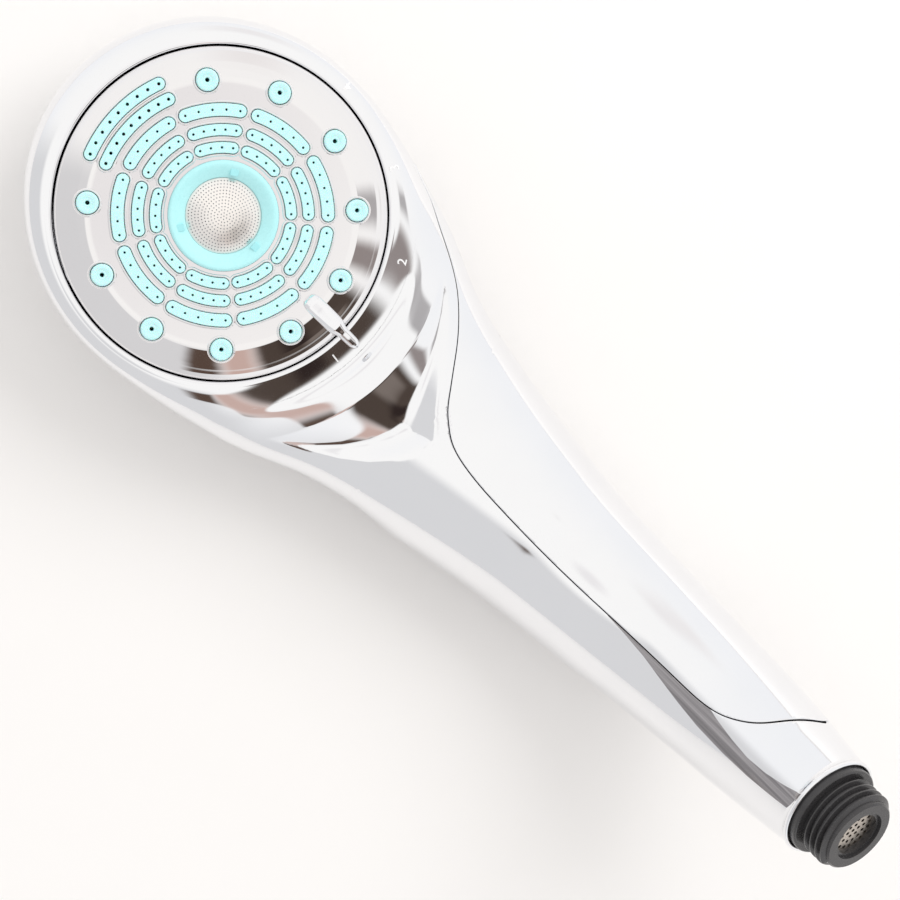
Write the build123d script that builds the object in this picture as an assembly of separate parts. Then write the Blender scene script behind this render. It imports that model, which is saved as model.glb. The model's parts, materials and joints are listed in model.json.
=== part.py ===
from build123d import *
import math
import os

# Handheld shower head. Everything is built in the face frame: origin at the centre of the spray face,
# +Z the face normal, the handle towards -Y, X across. to_row() then moves it to the centre of the
# hose thread's end face. All lengths are millimetres and all angles degrees.

# Head: an egg whose front is cut flat behind the spray face.
HEAD_HALF_WIDTH = 43.4
HEAD_REACH = 45.5
HEAD_HALF_DEPTH = 31.0
HEAD_CENTRE_Z = -10.0
WALL = 2.4
FRONT_Z = -4.0
TROUGH_RADIUS = 44.0
FACE_OPENING_RADIUS = 37.7

# Handle: the centre line runs straight back from the head, bends up in one arc and ends straight.
SPINE_Z = -22.5
BEND_START = 105.5
BEND_RADIUS = 95.5
BEND_ANGLE = 55.0
TAIL_LENGTH = 12.0
END_RADIUS = 12.7
END_WALL = 3.0

# Cross-sections before the bend: distance from the face centre, centre height, half width, rise, drop.
NECK_SECTIONS = [
    (0.0, HEAD_CENTRE_Z, HEAD_HALF_WIDTH, HEAD_HALF_DEPTH, HEAD_HALF_DEPTH),
    (5.0, -10.1, 43.2, 29.3, 30.9),
    (12.0, -10.5, 42.4, 25.5, 30.5),
    (20.0, -11.5, 41.1, 20.8, 29.4),
    (30.0, -13.1, 38.9, 16.4, 27.6),
    (42.0, -15.8, 35.7, 13.4, 24.6),
    (56.0, -18.6, 30.3, 14.4, 22.0),
    (72.0, -20.9, 26.8, 16.8, 20.0),
    (88.0, -22.2, 23.9, 18.4, 19.0),
    (BEND_START, SPINE_Z, 21.5, 18.8, 18.8),
]
# Cross-sections round the bend: angle, half width, rise and drop.
BEND_SECTIONS = [
    (14.0, 19.2, 18.1),
    (28.0, 17.6, 17.0),
    (42.0, 16.1, 15.7),
    (BEND_ANGLE, 14.4, 14.2),
]
# Seam between the two shells, seen from the front: across, distance from the face centre.
SEAM_TOP = (60.0, 14.0)
SEAM_POINTS = [
    (42.5, 17.0), (40.0, 22.5), (38.0, 27.5), (33.8, 37.2), (28.8, 47.2), (22.0, 55.6), (12.3, 62.9),
    (4.0, 68.8), (-0.3, 74.2), (-2.5, 81.2), (-3.7, 94.0), (-4.1, 112.0), (-3.9, 131.0), (-3.5, 152.0),
    (-3.1, 158.6), (-0.8, 164.0), (7.0, 171.0), (11.0, 175.2), (14.0, 180.4), (17.0, 187.0),
]
SEAM_END = (60.0, 196.0)
SHELL_BOSS_ANGLES = (60.0, 180.0, 300.0)
SHELL_BOSS_PITCH_RADIUS = 29.0
SHELL_BOSS_RADIUS = 3.2
SHELL_BOSS_BORE_END_Z = -28.0

# Turning spray face.
DIAL_RADIUS = 37.3
FLAT_RADIUS = 30.0
SLOPE_RADIUS = 34.4
SLOPE_Z = -1.2
RIM_Z = -2.0
PLATE_BACK_Z = -3.2
SKIRT_INNER_RADIUS = 35.4
SKIRT_END_Z = -12.4
CENTRE_HOLE_RADIUS = 12.5
LEVER_START = 26.0
LEVER_REACH = 40.0
LEVER_WIDTH = 3.2
LEVER_TOP_Z = 2.4
LEVER_UNDERSIDE_Z = -2.8

# Nozzle pads: ring radius, pad width, holes on a pad, angle between holes.
PAD_RINGS = [(15.1, 2.4, 4, 9.35), (19.0, 2.5, 5, 7.25), (23.4, 2.8, 5, 7.55)]
PADS_PER_RING = 9
FIRST_PAD_ANGLE = 20.0
SHORT_ROW_HOLES = 4
SHORT_ROW_STEP = 10.0
PAD_HOLE_RADIUS = 0.27
ARC_PADS = [(28.1, 2.7, 9, 5.15), (32.0, 2.7, 9, 4.93)]
ARC_PAD_ANGLE = 180.0
ARC_HOLE_RADIUS = 0.38
PAD_TOP_Z = 0.35
PAD_CLEARANCE = 0.1
MAT_RADIUS = 35.0
MAT_THICKNESS = 1.4
JET_COUNT = 10
JET_PITCH_RADIUS = 30.0
JET_FIRST_ANGLE = 15.65
JET_STEP = 31.3
JET_RADIUS = 2.5
JET_HOLE_RADIUS = 0.5
JET_TOP_Z = 0.8

# Centre mist outlet.
MIST_RING_RADIUS = 12.4
MIST_RING_TOP_Z = 1.0
MIST_RING_CHAMFER = 0.7
MIST_CORE_TOP_Z = -1.2
MIST_CORE_BACK_Z = -4.2
MIST_SWIRL_RADIUS = 6.0
DOME_RADIUS = 8.45
DOME_BASE_Z = -1.2
DOME_RISE = 3.4
DOME_THICKNESS = 0.5
DOME_HOLE_RADIUS = 0.25
DOME_HOLE_RINGS = [(0.0, 1), (2.2, 7), (4.2, 13), (6.2, 19)]

# Water path behind the face.
CHAMBER_RADIUS = 35.2
CHAMBER_TOP_Z = -4.7
CHAMBER_BACK_Z = -10.4
CHAMBER_GROOVES = [(13.2, 25.3), (26.3, 33.9)]
GROOVE_DEPTH = 3.0
POST_RADIUS = 5.0
POST_TOP_Z = -6.95
RUNNING_FIT = 0.06
COUNTERBORE_RADIUS = 8.2
COUNTERBORE_Z = -7.0
DIVERTER_RADIUS = 31.0
DIVERTER_TOP_Z = -10.5
DIVERTER_BACK_Z = -12.9
PORT_PITCH_RADIUS = 18.0
PORT_RADIUS = 3.0
OUTER_PORT_PITCH_RADIUS = 29.0
MIST_PORT_PITCH_RADIUS = 7.2
MIST_PORT_RADIUS = 0.8
MODE_COUNT = 4
MODE_STEP = 30.0
HOUSING_RADIUS = 36.5
HOUSING_TOP_Z = -13.3
HOUSING_BACK_Z = -17.8
DUCT_RADIUS = 9.0
DUCT_BORE_RADIUS = 5.0
DUCT_START = 8.0
DUCT_END = 48.0
SOCKET_START = 38.0
SOCKET_RADIUS = 6.05
CUP_RADIUS = 3.9
CUP_BORE_RADIUS = 2.3
CUP_TOP_Z = -12.95
CUP_BACK_Z = -14.6
POCKET_BACK_Z = -16.1
CLICK_PITCH_RADIUS = 28.0
CLICK_HALF_LENGTH = 6.0
CLICK_WIDTH = 3.0
CLICK_THICKNESS = 0.4
CLICK_POCKET_DEPTH = 2.2
NOTCH_RADIUS = 1.6
NOTCH_DEPTH = 0.8

# Water tube and inlet. Inlet parts use the distance out from the chromed rim along the inlet's axis.
TUBE_RADIUS = 6.0
TUBE_BORE_RADIUS = 4.5
TUBE_END = -5.0
O_RING_SECTION = 0.5
O_RING_GROOVE_WIDTH = 1.3
UPPER_O_RING_REACH = 43.0
LOWER_O_RING_OUT = -8.0
O_RING_MAJOR = SOCKET_RADIUS - O_RING_SECTION
THREAD_RADIUS = 20.955 / 2
THREAD_PITCH = 1.814
THREAD_DEPTH = 1.162
COLLAR_RADIUS = 11.85
COLLAR_LENGTH = 3.0
INLET_LENGTH = 11.5
THREAD_CHAMFER = 0.9
INLET_NECK_RADIUS = 9.9
INLET_BORE_RADIUS = 6.5
SCREW_RADIUS = 1.4
SCREW_HEAD_RADIUS = 2.6
SCREW_HEAD_HEIGHT = 1.9
CLIP_THICKNESS = 1.0
CLIP_GROOVE_RADIUS = 8.9
CLIP_OUT = -END_WALL - 0.6
STRAINER_START = 8.5
STRAINER_THICKNESS = 0.8
STRAINER_RING_THICKNESS = 1.4
STRAINER_RING_BORE_RADIUS = 5.6
STRAINER_HOLE_RADIUS = 0.45
STRAINER_HOLE_RINGS = [(0.0, 1), (1.6, 6), (3.2, 12), (4.8, 18)]
VENTURI_THROAT_RADIUS = 1.4
SPRING_WIRE_RADIUS = 0.3
SPRING_TURNS = 1.75
SLACK = 0.02
BEYOND = 100.0



def spine_plane(angle, along=0.0):
    """Plane across the handle, at an angle round the bend and then a distance along the tail."""
    turn = math.radians(angle)
    tangent = Vector(0, -math.cos(turn), math.sin(turn))
    y = -BEND_START - BEND_RADIUS * math.sin(turn)
    z = SPINE_Z + BEND_RADIUS * (1 - math.cos(turn))
    return Plane(origin=Vector(0, y, z) + tangent * along, x_dir=(1, 0, 0), z_dir=tangent)


RIM = spine_plane(BEND_ANGLE, TAIL_LENGTH)
THREAD_END = RIM.origin + RIM.z_dir * INLET_LENGTH


def to_row(shape):
    """Move a shape from the face frame to the row frame, whose origin is the thread's end face."""
    return Pos(-THREAD_END.X, -THREAD_END.Y, -THREAD_END.Z) * shape


def polar(radius, angle):
    """Point on the face; the angle is from the handle's direction, clockwise as the face is seen."""
    turn = math.radians(270.0 - angle)
    return (radius * math.cos(turn), radius * math.sin(turn))


def disc(radius, top, back, at=(0.0, 0.0)):
    """Disc between two heights in the face frame."""
    return Pos(at[0], at[1], (top + back) / 2) * Cylinder(radius, top - back)


def ring(outer, inner, top, back, at=(0.0, 0.0)):
    return disc(outer, top, back, at) - disc(inner, top, back, at)


def tube_piece(radius, start, end):
    """Cylinder along the handle's straight stretch, between two distances from the face centre."""
    return Pos(0, -(start + end) / 2, SPINE_Z) * Rot(90, 0, 0) * Cylinder(radius, end - start)


def inlet_disc(radius, start, end):
    """Cylinder on the inlet's axis, between two distances out from the chromed rim."""
    return RIM * Pos(0, 0, (start + end) / 2) * Cylinder(radius, end - start)


def half_ellipses(plane, half_width, rise, drop):
    upper = EllipticalCenterArc((0, 0), half_width, rise, 0, arc_size=180)
    lower = EllipticalCenterArc((0, 0), half_width, drop, 180, arc_size=180)
    return plane * make_face(upper + lower)


def body_form(inset, end_inset):
    """The whole outer form of head and handle, made smaller by inset all over."""
    egg = scale(Sphere(1), by=(HEAD_HALF_WIDTH - inset, HEAD_REACH - inset, HEAD_HALF_DEPTH - inset))
    far_side = Pos(0, HEAD_REACH, 0) * Box(2 * BEYOND, 2 * HEAD_REACH, 2 * BEYOND)
    tip = (Pos(0, 0, HEAD_CENTRE_Z) * egg) & far_side
    sections = []
    for reach, centre_z, half_width, rise, drop in NECK_SECTIONS:
        plane = Plane(origin=(0, -reach, centre_z), x_dir=(1, 0, 0), z_dir=(0, -1, 0))
        sections.append(half_ellipses(plane, half_width - inset, rise - inset, drop - inset))
    for angle, half_width, height in BEND_SECTIONS:
        plane = spine_plane(angle)
        sections.append(half_ellipses(plane, half_width - inset, height - inset, height - inset))
    end = spine_plane(BEND_ANGLE, TAIL_LENGTH - end_inset)
    end_radius = END_RADIUS - inset + (0.3 if inset else 0.0)
    sections.append(half_ellipses(end, end_radius, end_radius, end_radius))
    return tip + loft(sections)


def front_cut(radius, floor_z):
    """The space in front of the head, inside the trough that the neck rises from."""
    round_part = disc(radius, floor_z + BEYOND, floor_z)
    tip_part = Pos(0, BEYOND / 2, floor_z + BEYOND / 2) * Box(2 * BEYOND, BEYOND, BEYOND)
    return round_part + tip_part


def shell_bosses(form):
    posts = []
    for angle in SHELL_BOSS_ANGLES:
        at = polar(SHELL_BOSS_PITCH_RADIUS, angle)
        post = disc(SHELL_BOSS_RADIUS, HOUSING_BACK_Z, -BEYOND, at) & form
        posts.append(post - disc(SCREW_RADIUS + SLACK, HOUSING_BACK_Z, SHELL_BOSS_BORE_END_Z, at))
    return posts


def shells():
    """The two chromed shells: one hollow form, parted along the seam."""
    outer = body_form(0.0, 0.0)
    inner = body_form(WALL, END_WALL) - front_cut(TROUGH_RADIUS + WALL, FRONT_Z - WALL)
    hollow = outer - inner - front_cut(TROUGH_RADIUS, FRONT_Z)
    hollow -= disc(FACE_OPENING_RADIUS, BEYOND, HOUSING_TOP_Z + 0.3)
    hollow -= inlet_disc(INLET_NECK_RADIUS + SLACK, -END_WALL - 2.0, 2.0)
    edge = Spline([(x, -reach) for x, reach in SEAM_POINTS])
    start = (SEAM_POINTS[0][0], -SEAM_POINTS[0][1])
    end = (SEAM_POINTS[-1][0], -SEAM_POINTS[-1][1])
    far_top = (SEAM_TOP[0], -SEAM_TOP[1])
    far_end = (SEAM_END[0], -SEAM_END[1])
    side = make_face(edge + Polyline(end, far_end, far_top, start))
    side_space = extrude(side, BEYOND, both=True)
    cover = hollow & side_space
    main = hollow - side_space
    for boss in shell_bosses(outer):
        main += boss
    return main, cover


def pad_rows():
    """Every arc pad as (ring radius, width, hole angles, hole radius)."""
    rows = []
    for ring_index, (radius, width, count, step) in enumerate(PAD_RINGS):
        for pad in range(PADS_PER_RING):
            centre = FIRST_PAD_ANGLE + pad * 360.0 / PADS_PER_RING
            holes, gap = count, step
            if pad == 0 and ring_index == len(PAD_RINGS) - 1:
                holes, gap = SHORT_ROW_HOLES, SHORT_ROW_STEP
            angles = [centre + (i - (holes - 1) / 2) * gap for i in range(holes)]
            rows.append((radius, width, angles, PAD_HOLE_RADIUS))
    for radius, width, count, step in ARC_PADS:
        angles = [ARC_PAD_ANGLE + (i - (count - 1) / 2) * step for i in range(count)]
        rows.append((radius, width, angles, ARC_HOLE_RADIUS))
    return rows


def pad_sketch(radius, width, angles):
    """Arc-shaped pad outline with round ends, from its first hole to its last."""
    span = angles[-1] - angles[0]
    return SlotArc(CenterArc((0, 0), radius, 270.0 - angles[-1], span), width)


def jet_points():
    half = [JET_FIRST_ANGLE + i * JET_STEP for i in range(JET_COUNT // 2)]
    return [polar(JET_PITCH_RADIUS, sign * angle) for angle in half for sign in (1, -1)]


def face_blank():
    """Face plate before its holes: turned profile, radius and height."""
    profile = Polyline(
        (0, 0), (FLAT_RADIUS, 0), (SLOPE_RADIUS, SLOPE_Z), (DIAL_RADIUS - 1.0, RIM_Z),
        (DIAL_RADIUS, RIM_Z - 0.9), (DIAL_RADIUS, SKIRT_END_Z), (SKIRT_INNER_RADIUS, SKIRT_END_Z),
        (SKIRT_INNER_RADIUS, PLATE_BACK_Z), (0, PLATE_BACK_Z), (0, 0),
    )
    return revolve(Plane.XZ * make_face(profile), Axis.Z, 360)


def face_plate(blank):
    holes = Sketch()
    for radius, width, angles, _ in pad_rows():
        holes += pad_sketch(radius, width + 2 * PAD_CLEARANCE, angles)
    for x, y in jet_points():
        holes += Pos(x, y) * Circle(JET_RADIUS + PAD_CLEARANCE)
    holes += Circle(CENTRE_HOLE_RADIUS)
    plate = blank - Pos(0, 0, PLATE_BACK_Z - 1) * extrude(holes, 6)
    groove = ring(SKIRT_INNER_RADIUS + 0.9, SKIRT_INNER_RADIUS - 0.1, CHAMBER_BACK_Z, CHAMBER_BACK_Z - 1.1)
    return plate - groove


def selector_lever(blank):
    length = LEVER_REACH - LEVER_START
    outline = Pos(0, -LEVER_START - length / 2) * Rot(0, 0, 90) * SlotOverall(length, LEVER_WIDTH)
    body = Pos(0, 0, LEVER_UNDERSIDE_Z) * extrude(outline, LEVER_TOP_Z - LEVER_UNDERSIDE_Z)
    body = fillet(body.faces().sort_by(Axis.Z)[-1].edges(), 1.2)
    body -= blank
    return body.solids().sort_by(SortBy.VOLUME)[-1]


def nozzle_mat():
    base = Circle(MAT_RADIUS) - Circle(CENTRE_HOLE_RADIUS + 0.1)
    pads = Sketch()
    holes = Sketch()
    for radius, width, angles, hole_radius in pad_rows():
        pads += pad_sketch(radius, width, angles)
        for angle in angles:
            holes += Pos(*polar(radius, angle)) * Circle(hole_radius)
    for x, y in jet_points():
        holes += Pos(x, y) * Circle(JET_RADIUS)
    sheet = Pos(0, 0, PLATE_BACK_Z - MAT_THICKNESS) * extrude(base - holes, MAT_THICKNESS)
    raised = Pos(0, 0, PLATE_BACK_Z) * extrude(pads - holes, PAD_TOP_Z - PLATE_BACK_Z)
    return sheet + raised


def jet_nozzles():
    """Ten separate tips, each with a shoulder that the mat's hole holds."""
    tips = []
    for at in jet_points():
        tip = disc(JET_RADIUS, JET_TOP_Z, CHAMBER_TOP_Z + 0.1, at)
        tip = fillet(tip.faces().sort_by(Axis.Z)[-1].edges(), 0.4)
        tips.append(tip - disc(JET_HOLE_RADIUS, 2.0, -6.0, at))
    return tips


def mist_ring():
    body = disc(MIST_RING_RADIUS, MIST_RING_TOP_Z, MIST_CORE_TOP_Z)
    body = chamfer(body.faces().sort_by(Axis.Z)[-1].edges(), MIST_RING_CHAMFER)
    return body - disc(DOME_RADIUS + 0.05, 3.0, -3.0)


def dome_cap(radius, rise):
    """Solid cap of a ball with the given base radius and rise, standing on the dome's base plane."""
    ball_radius = (radius * radius + rise * rise) / (2 * rise)
    ball = Pos(0, 0, DOME_BASE_Z + rise - ball_radius) * Sphere(ball_radius)
    return ball & disc(radius + 1, DOME_BASE_Z + rise + 1, DOME_BASE_Z)


def mist_dome():
    inner = dome_cap(DOME_RADIUS - DOME_THICKNESS, DOME_RISE - DOME_THICKNESS)
    shell = dome_cap(DOME_RADIUS, DOME_RISE) - inner
    for radius, count in DOME_HOLE_RINGS:
        for i in range(count):
            shell -= disc(DOME_HOLE_RADIUS, 4.0, -2.0, polar(radius, i * 360.0 / count))
    return shell


def mist_core():
    """Swirl body: a plate with three slanting ports, standing on the chamber by its rim."""
    body = disc(MIST_RING_RADIUS - 0.1, MIST_CORE_TOP_Z, MIST_CORE_BACK_Z)
    body += ring(MIST_RING_RADIUS - 0.1, 9.0, MIST_CORE_BACK_Z, CHAMBER_TOP_Z)
    body -= disc(MIST_SWIRL_RADIUS, MIST_CORE_TOP_Z, MIST_CORE_TOP_Z - 1.5)
    for i in range(3):
        body -= disc(0.9, 0.0, -6.0, polar(MIST_SWIRL_RADIUS - 1.5, i * 120.0))
    return body


def mode_angle(mode):
    """Where a mode's port sits on the dial at rest, so that turning brings it over the seal cup."""
    return mode * MODE_STEP


def spray_chamber():
    body = disc(CHAMBER_RADIUS, CHAMBER_TOP_Z, CHAMBER_BACK_Z)
    for inner, outer in CHAMBER_GROOVES:
        body -= ring(outer, inner, CHAMBER_TOP_Z, CHAMBER_TOP_Z - GROOVE_DEPTH)
    body -= disc(COUNTERBORE_RADIUS, CHAMBER_TOP_Z, COUNTERBORE_Z)
    body -= disc(POST_RADIUS + RUNNING_FIT, 0.0, -12.0)
    for mode in (0, 1):
        body -= disc(PORT_RADIUS, -6.0, -12.0, polar(OUTER_PORT_PITCH_RADIUS, mode_angle(mode)))
    body -= disc(PORT_RADIUS, -6.0, -12.0, polar(PORT_PITCH_RADIUS, mode_angle(2)))
    for side in (-14.0, 0.0, 14.0):
        at = polar(MIST_PORT_PITCH_RADIUS, mode_angle(3) + side)
        body -= disc(MIST_PORT_RADIUS, -6.0, -12.0, at)
    return body


def radial_channel(start, end, angle):
    """Channel in the diverter's front, along a radius."""
    outline = Pos((start + end) / 2, 0) * SlotOverall(end - start + 2.4, 2.4)
    return Pos(0, 0, DIVERTER_TOP_Z - 1.2) * extrude(Rot(0, 0, 270.0 - angle) * outline, 3.0)


def diverter_plate():
    body = disc(DIVERTER_RADIUS, DIVERTER_TOP_Z, DIVERTER_BACK_Z)
    body -= disc(POST_RADIUS + RUNNING_FIT, 0.0, -20.0)
    for mode in range(MODE_COUNT):
        body -= disc(PORT_RADIUS - 0.8, 0.0, -20.0, polar(PORT_PITCH_RADIUS, mode_angle(mode)))
        notch = Pos(CLICK_PITCH_RADIUS, 0, DIVERTER_BACK_Z - NOTCH_RADIUS + NOTCH_DEPTH)
        tool = notch * Rot(0, 90, 0) * Cylinder(NOTCH_RADIUS, CLICK_WIDTH + 0.8)
        body -= Rot(0, 0, -mode * MODE_STEP) * tool
    for mode in (0, 1):
        body -= radial_channel(PORT_PITCH_RADIUS, OUTER_PORT_PITCH_RADIUS - 1.0, mode_angle(mode))
    body -= radial_channel(MIST_PORT_PITCH_RADIUS, PORT_PITCH_RADIUS, mode_angle(3))
    return body


def retaining_ring():
    body = ring(SKIRT_INNER_RADIUS + 0.8, SKIRT_INNER_RADIUS - 2.2, CHAMBER_BACK_Z, CHAMBER_BACK_Z - 1.0)
    return body - Pos(0, 36.0, CHAMBER_BACK_Z) * Box(8, 12, 6)


def valve_body():
    body = disc(HOUSING_RADIUS, HOUSING_TOP_Z, HOUSING_BACK_Z)
    body += tube_piece(DUCT_RADIUS, DUCT_START, DUCT_END)
    body -= Pos(0, 0, HOUSING_TOP_Z + 10) * Box(100, 100, 20)
    body += disc(POST_RADIUS, POST_TOP_Z, HOUSING_TOP_Z - 1)
    body -= tube_piece(DUCT_BORE_RADIUS, DUCT_START + 4, SOCKET_START + 1)
    body -= tube_piece(SOCKET_RADIUS, SOCKET_START, DUCT_END + 1)
    port = polar(PORT_PITCH_RADIUS, 0)
    body -= disc(CUP_RADIUS + 0.1, HOUSING_TOP_Z + 1, POCKET_BACK_Z, port)
    body -= disc(CUP_BORE_RADIUS, HOUSING_TOP_Z, SPINE_Z, port)
    body -= disc(SCREW_RADIUS + SLACK, 0.0, -16.0)
    groove_z = (DIVERTER_TOP_Z + DIVERTER_BACK_Z) / 2
    half = O_RING_GROOVE_WIDTH / 2
    body -= ring(POST_RADIUS + 1, POST_RADIUS - 1, groove_z + half, groove_z - half)
    pocket = Box(CLICK_WIDTH + 0.6, 2 * CLICK_HALF_LENGTH + 1, CLICK_POCKET_DEPTH)
    body -= Pos(CLICK_PITCH_RADIUS, 0, HOUSING_TOP_Z - CLICK_POCKET_DEPTH / 2) * pocket
    for angle in SHELL_BOSS_ANGLES:
        at = polar(SHELL_BOSS_PITCH_RADIUS, angle)
        body -= disc(SCREW_RADIUS + SLACK, 0.0, -30.0, at)
        body -= disc(SCREW_HEAD_RADIUS + 0.1, HOUSING_TOP_Z + 1, HOUSING_TOP_Z - 2.2, at)
    return body


def cross_head_screw(head_top, head_height, length, at=(0.0, 0.0)):
    """Pan-head screw with a cross recess, pointing down."""
    body = disc(SCREW_HEAD_RADIUS, head_top, head_top - head_height, at)
    body = fillet(body.faces().sort_by(Axis.Z)[-1].edges(), 0.4)
    body += disc(SCREW_RADIUS, head_top - head_height, head_top - head_height - length, at)
    for turn in (0, 90):
        body -= Pos(at[0], at[1], head_top) * Rot(0, 0, turn) * Box(2.6, 0.6, 1.6)
    return body


def housing_screws():
    top = HOUSING_TOP_Z - 0.3
    places = [polar(SHELL_BOSS_PITCH_RADIUS, angle) for angle in SHELL_BOSS_ANGLES]
    return [cross_head_screw(top, SCREW_HEAD_HEIGHT, 9.0, at) for at in places]


def pivot_washer():
    return ring(6.1, SCREW_RADIUS + 0.1, POST_TOP_Z + 0.8, POST_TOP_Z)


def port_seal_cup():
    at = polar(PORT_PITCH_RADIUS, 0)
    return ring(CUP_RADIUS, CUP_BORE_RADIUS, CUP_TOP_Z, CUP_BACK_Z, at)


def port_seal_spring():
    wire = SPRING_WIRE_RADIUS
    height = CUP_BACK_Z - POCKET_BACK_Z - 2 * wire
    path = Helix(pitch=height / SPRING_TURNS, height=height, radius=CUP_RADIUS - 0.7)
    start = path @ 0
    wire_face = Plane(origin=start, z_dir=path % 0) * Circle(wire * 0.95)
    x, y = polar(PORT_PITCH_RADIUS, 0)
    return Pos(x, y, POCKET_BACK_Z + wire) * sweep(wire_face, path=path, is_frenet=True)


def o_ring(plane, major, minor):
    return plane * Torus(major, minor)


def click_spring():
    """Leaf with a rounded peak, in the valve body's pocket under the dial's notches."""
    base = HOUSING_TOP_Z - CLICK_POCKET_DEPTH
    peak = DIVERTER_BACK_Z + NOTCH_DEPTH - 0.25
    half = CLICK_HALF_LENGTH
    t = CLICK_THICKNESS
    outer = Polyline(
        (-half, base), (-half, base + t), (-half + 1.5, base + t), (-0.4, peak), (0.4, peak),
        (half - 1.5, base + t), (half, base + t), (half, base), (half - 1.7, base),
        (0.2, peak - t), (-0.2, peak - t), (-half + 1.7, base), (-half, base),
    )
    leaf = extrude(Plane.YZ * make_face(outer), CLICK_WIDTH / 2, both=True)
    return Pos(CLICK_PITCH_RADIUS, 0, 0) * leaf


def water_tube():
    """Straight run from the valve body, one long bend and a straight tail in the inlet fitting."""
    start = SOCKET_START + 0.5
    section = Circle(TUBE_RADIUS) - Circle(TUBE_BORE_RADIUS)
    straight = tube_piece(TUBE_RADIUS, start, BEND_START)
    straight -= tube_piece(TUBE_BORE_RADIUS, start, BEND_START)
    centre = Axis((0, -BEND_START, SPINE_Z + BEND_RADIUS), (-1, 0, 0))
    bend = revolve(spine_plane(0) * section, centre, BEND_ANGLE)
    tail = inlet_disc(TUBE_RADIUS, -TAIL_LENGTH, TUBE_END)
    tail -= inlet_disc(TUBE_BORE_RADIUS, -TAIL_LENGTH, TUBE_END)
    tube = straight + bend + tail
    inner = TUBE_RADIUS - 2 * O_RING_SECTION + 0.05
    half = O_RING_GROOVE_WIDTH / 2
    start, end = UPPER_O_RING_REACH - half, UPPER_O_RING_REACH + half
    tube -= tube_piece(TUBE_RADIUS + 1, start, end) - tube_piece(inner, start, end)
    start, end = LOWER_O_RING_OUT - half, LOWER_O_RING_OUT + half
    tube -= inlet_disc(TUBE_RADIUS + 1, start, end) - inlet_disc(inner, start, end)
    return tube


def thread_ridge():
    """Helical ridge of the hose thread, in the inlet's own frame."""
    root = THREAD_RADIUS - THREAD_DEPTH
    turns_height = INLET_LENGTH - COLLAR_LENGTH - 2.2
    path = Helix(pitch=THREAD_PITCH, height=turns_height, radius=root)
    half = THREAD_PITCH / 2 * 0.82
    tip = THREAD_PITCH * 0.08
    sunk = root - 0.3
    profile = Polyline(
        (sunk, -half), (THREAD_RADIUS, -tip), (THREAD_RADIUS, tip), (sunk, half), (sunk, -half)
    )
    return Pos(0, 0, COLLAR_LENGTH + 1.0) * sweep(Plane.XZ * make_face(profile), path=path, is_frenet=True)


def inlet_fitting():
    root = THREAD_RADIUS - THREAD_DEPTH
    body = Pos(0, 0, COLLAR_LENGTH / 2) * Cylinder(COLLAR_RADIUS, COLLAR_LENGTH)
    body = fillet(body.faces().sort_by(Axis.Z)[-1].edges(), 0.5)
    core = Pos(0, 0, (COLLAR_LENGTH + INLET_LENGTH) / 2) * Cylinder(root, INLET_LENGTH - COLLAR_LENGTH)
    core = chamfer(core.faces().sort_by(Axis.Z)[-1].edges(), 0.4)
    body += core
    body += thread_ridge()
    body += Pos(0, 0, -3.0) * Cylinder(INLET_NECK_RADIUS, 6.0)
    body += Pos(0, 0, -9.5) * Cylinder(8.5, 7.0)
    body -= Pos(0, 0, -9.0) * Cylinder(SOCKET_RADIUS, 9.0)
    body -= Cylinder(DUCT_BORE_RADIUS, 40.0)
    body -= Pos(0, 0, COLLAR_LENGTH + 10) * Cylinder(INLET_BORE_RADIUS, 20.0)
    groove_width = CLIP_THICKNESS + 0.1
    clip_groove = Cylinder(INLET_NECK_RADIUS + 1, groove_width) - Cylinder(CLIP_GROOVE_RADIUS, groove_width)
    body -= Pos(0, 0, CLIP_OUT) * clip_groove
    return RIM * body


def fitting_clip():
    bore_radius = CLIP_GROOVE_RADIUS + 0.1
    body = Cylinder(bore_radius + 1.5, CLIP_THICKNESS) - Cylinder(bore_radius, CLIP_THICKNESS)
    body -= Pos(0, 10, 0) * Box(9, 12, 4)
    return RIM * Pos(0, 0, CLIP_OUT) * body


def bubble_nozzle():
    """Venturi insert: wide mouth, narrow throat and a cone that opens into the tube."""
    start, throat, end = 3.0, 0.5, -4.0
    body = Pos(0, 0, (start + end) / 2) * Cylinder(DUCT_BORE_RADIUS - SLACK, start - end)
    mouth = Pos(0, 0, (start + throat) / 2) * Cone(VENTURI_THROAT_RADIUS, 4.2, start - throat)
    outlet = Pos(0, 0, (throat + end) / 2) * Cone(3.4, VENTURI_THROAT_RADIUS, throat - end)
    return RIM * (body - mouth - outlet)


def inlet_strainer():
    """Filter disc; its holes are laid out in rings."""
    middle = STRAINER_START + STRAINER_THICKNESS / 2
    body = Pos(0, 0, middle) * Cylinder(INLET_BORE_RADIUS - SLACK, STRAINER_THICKNESS)
    for radius, count in STRAINER_HOLE_RINGS:
        for i in range(count):
            x, y = polar(radius, i * 360.0 / count)
            body -= Pos(x, y, middle) * Cylinder(STRAINER_HOLE_RADIUS, 2.0)
    return RIM * body


def strainer_ring():
    middle = STRAINER_START + STRAINER_THICKNESS + STRAINER_RING_THICKNESS / 2
    body = Cylinder(INLET_BORE_RADIUS - SLACK, STRAINER_RING_THICKNESS)
    body -= Cylinder(STRAINER_RING_BORE_RADIUS, STRAINER_RING_THICKNESS)
    return RIM * Pos(0, 0, middle) * body


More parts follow.
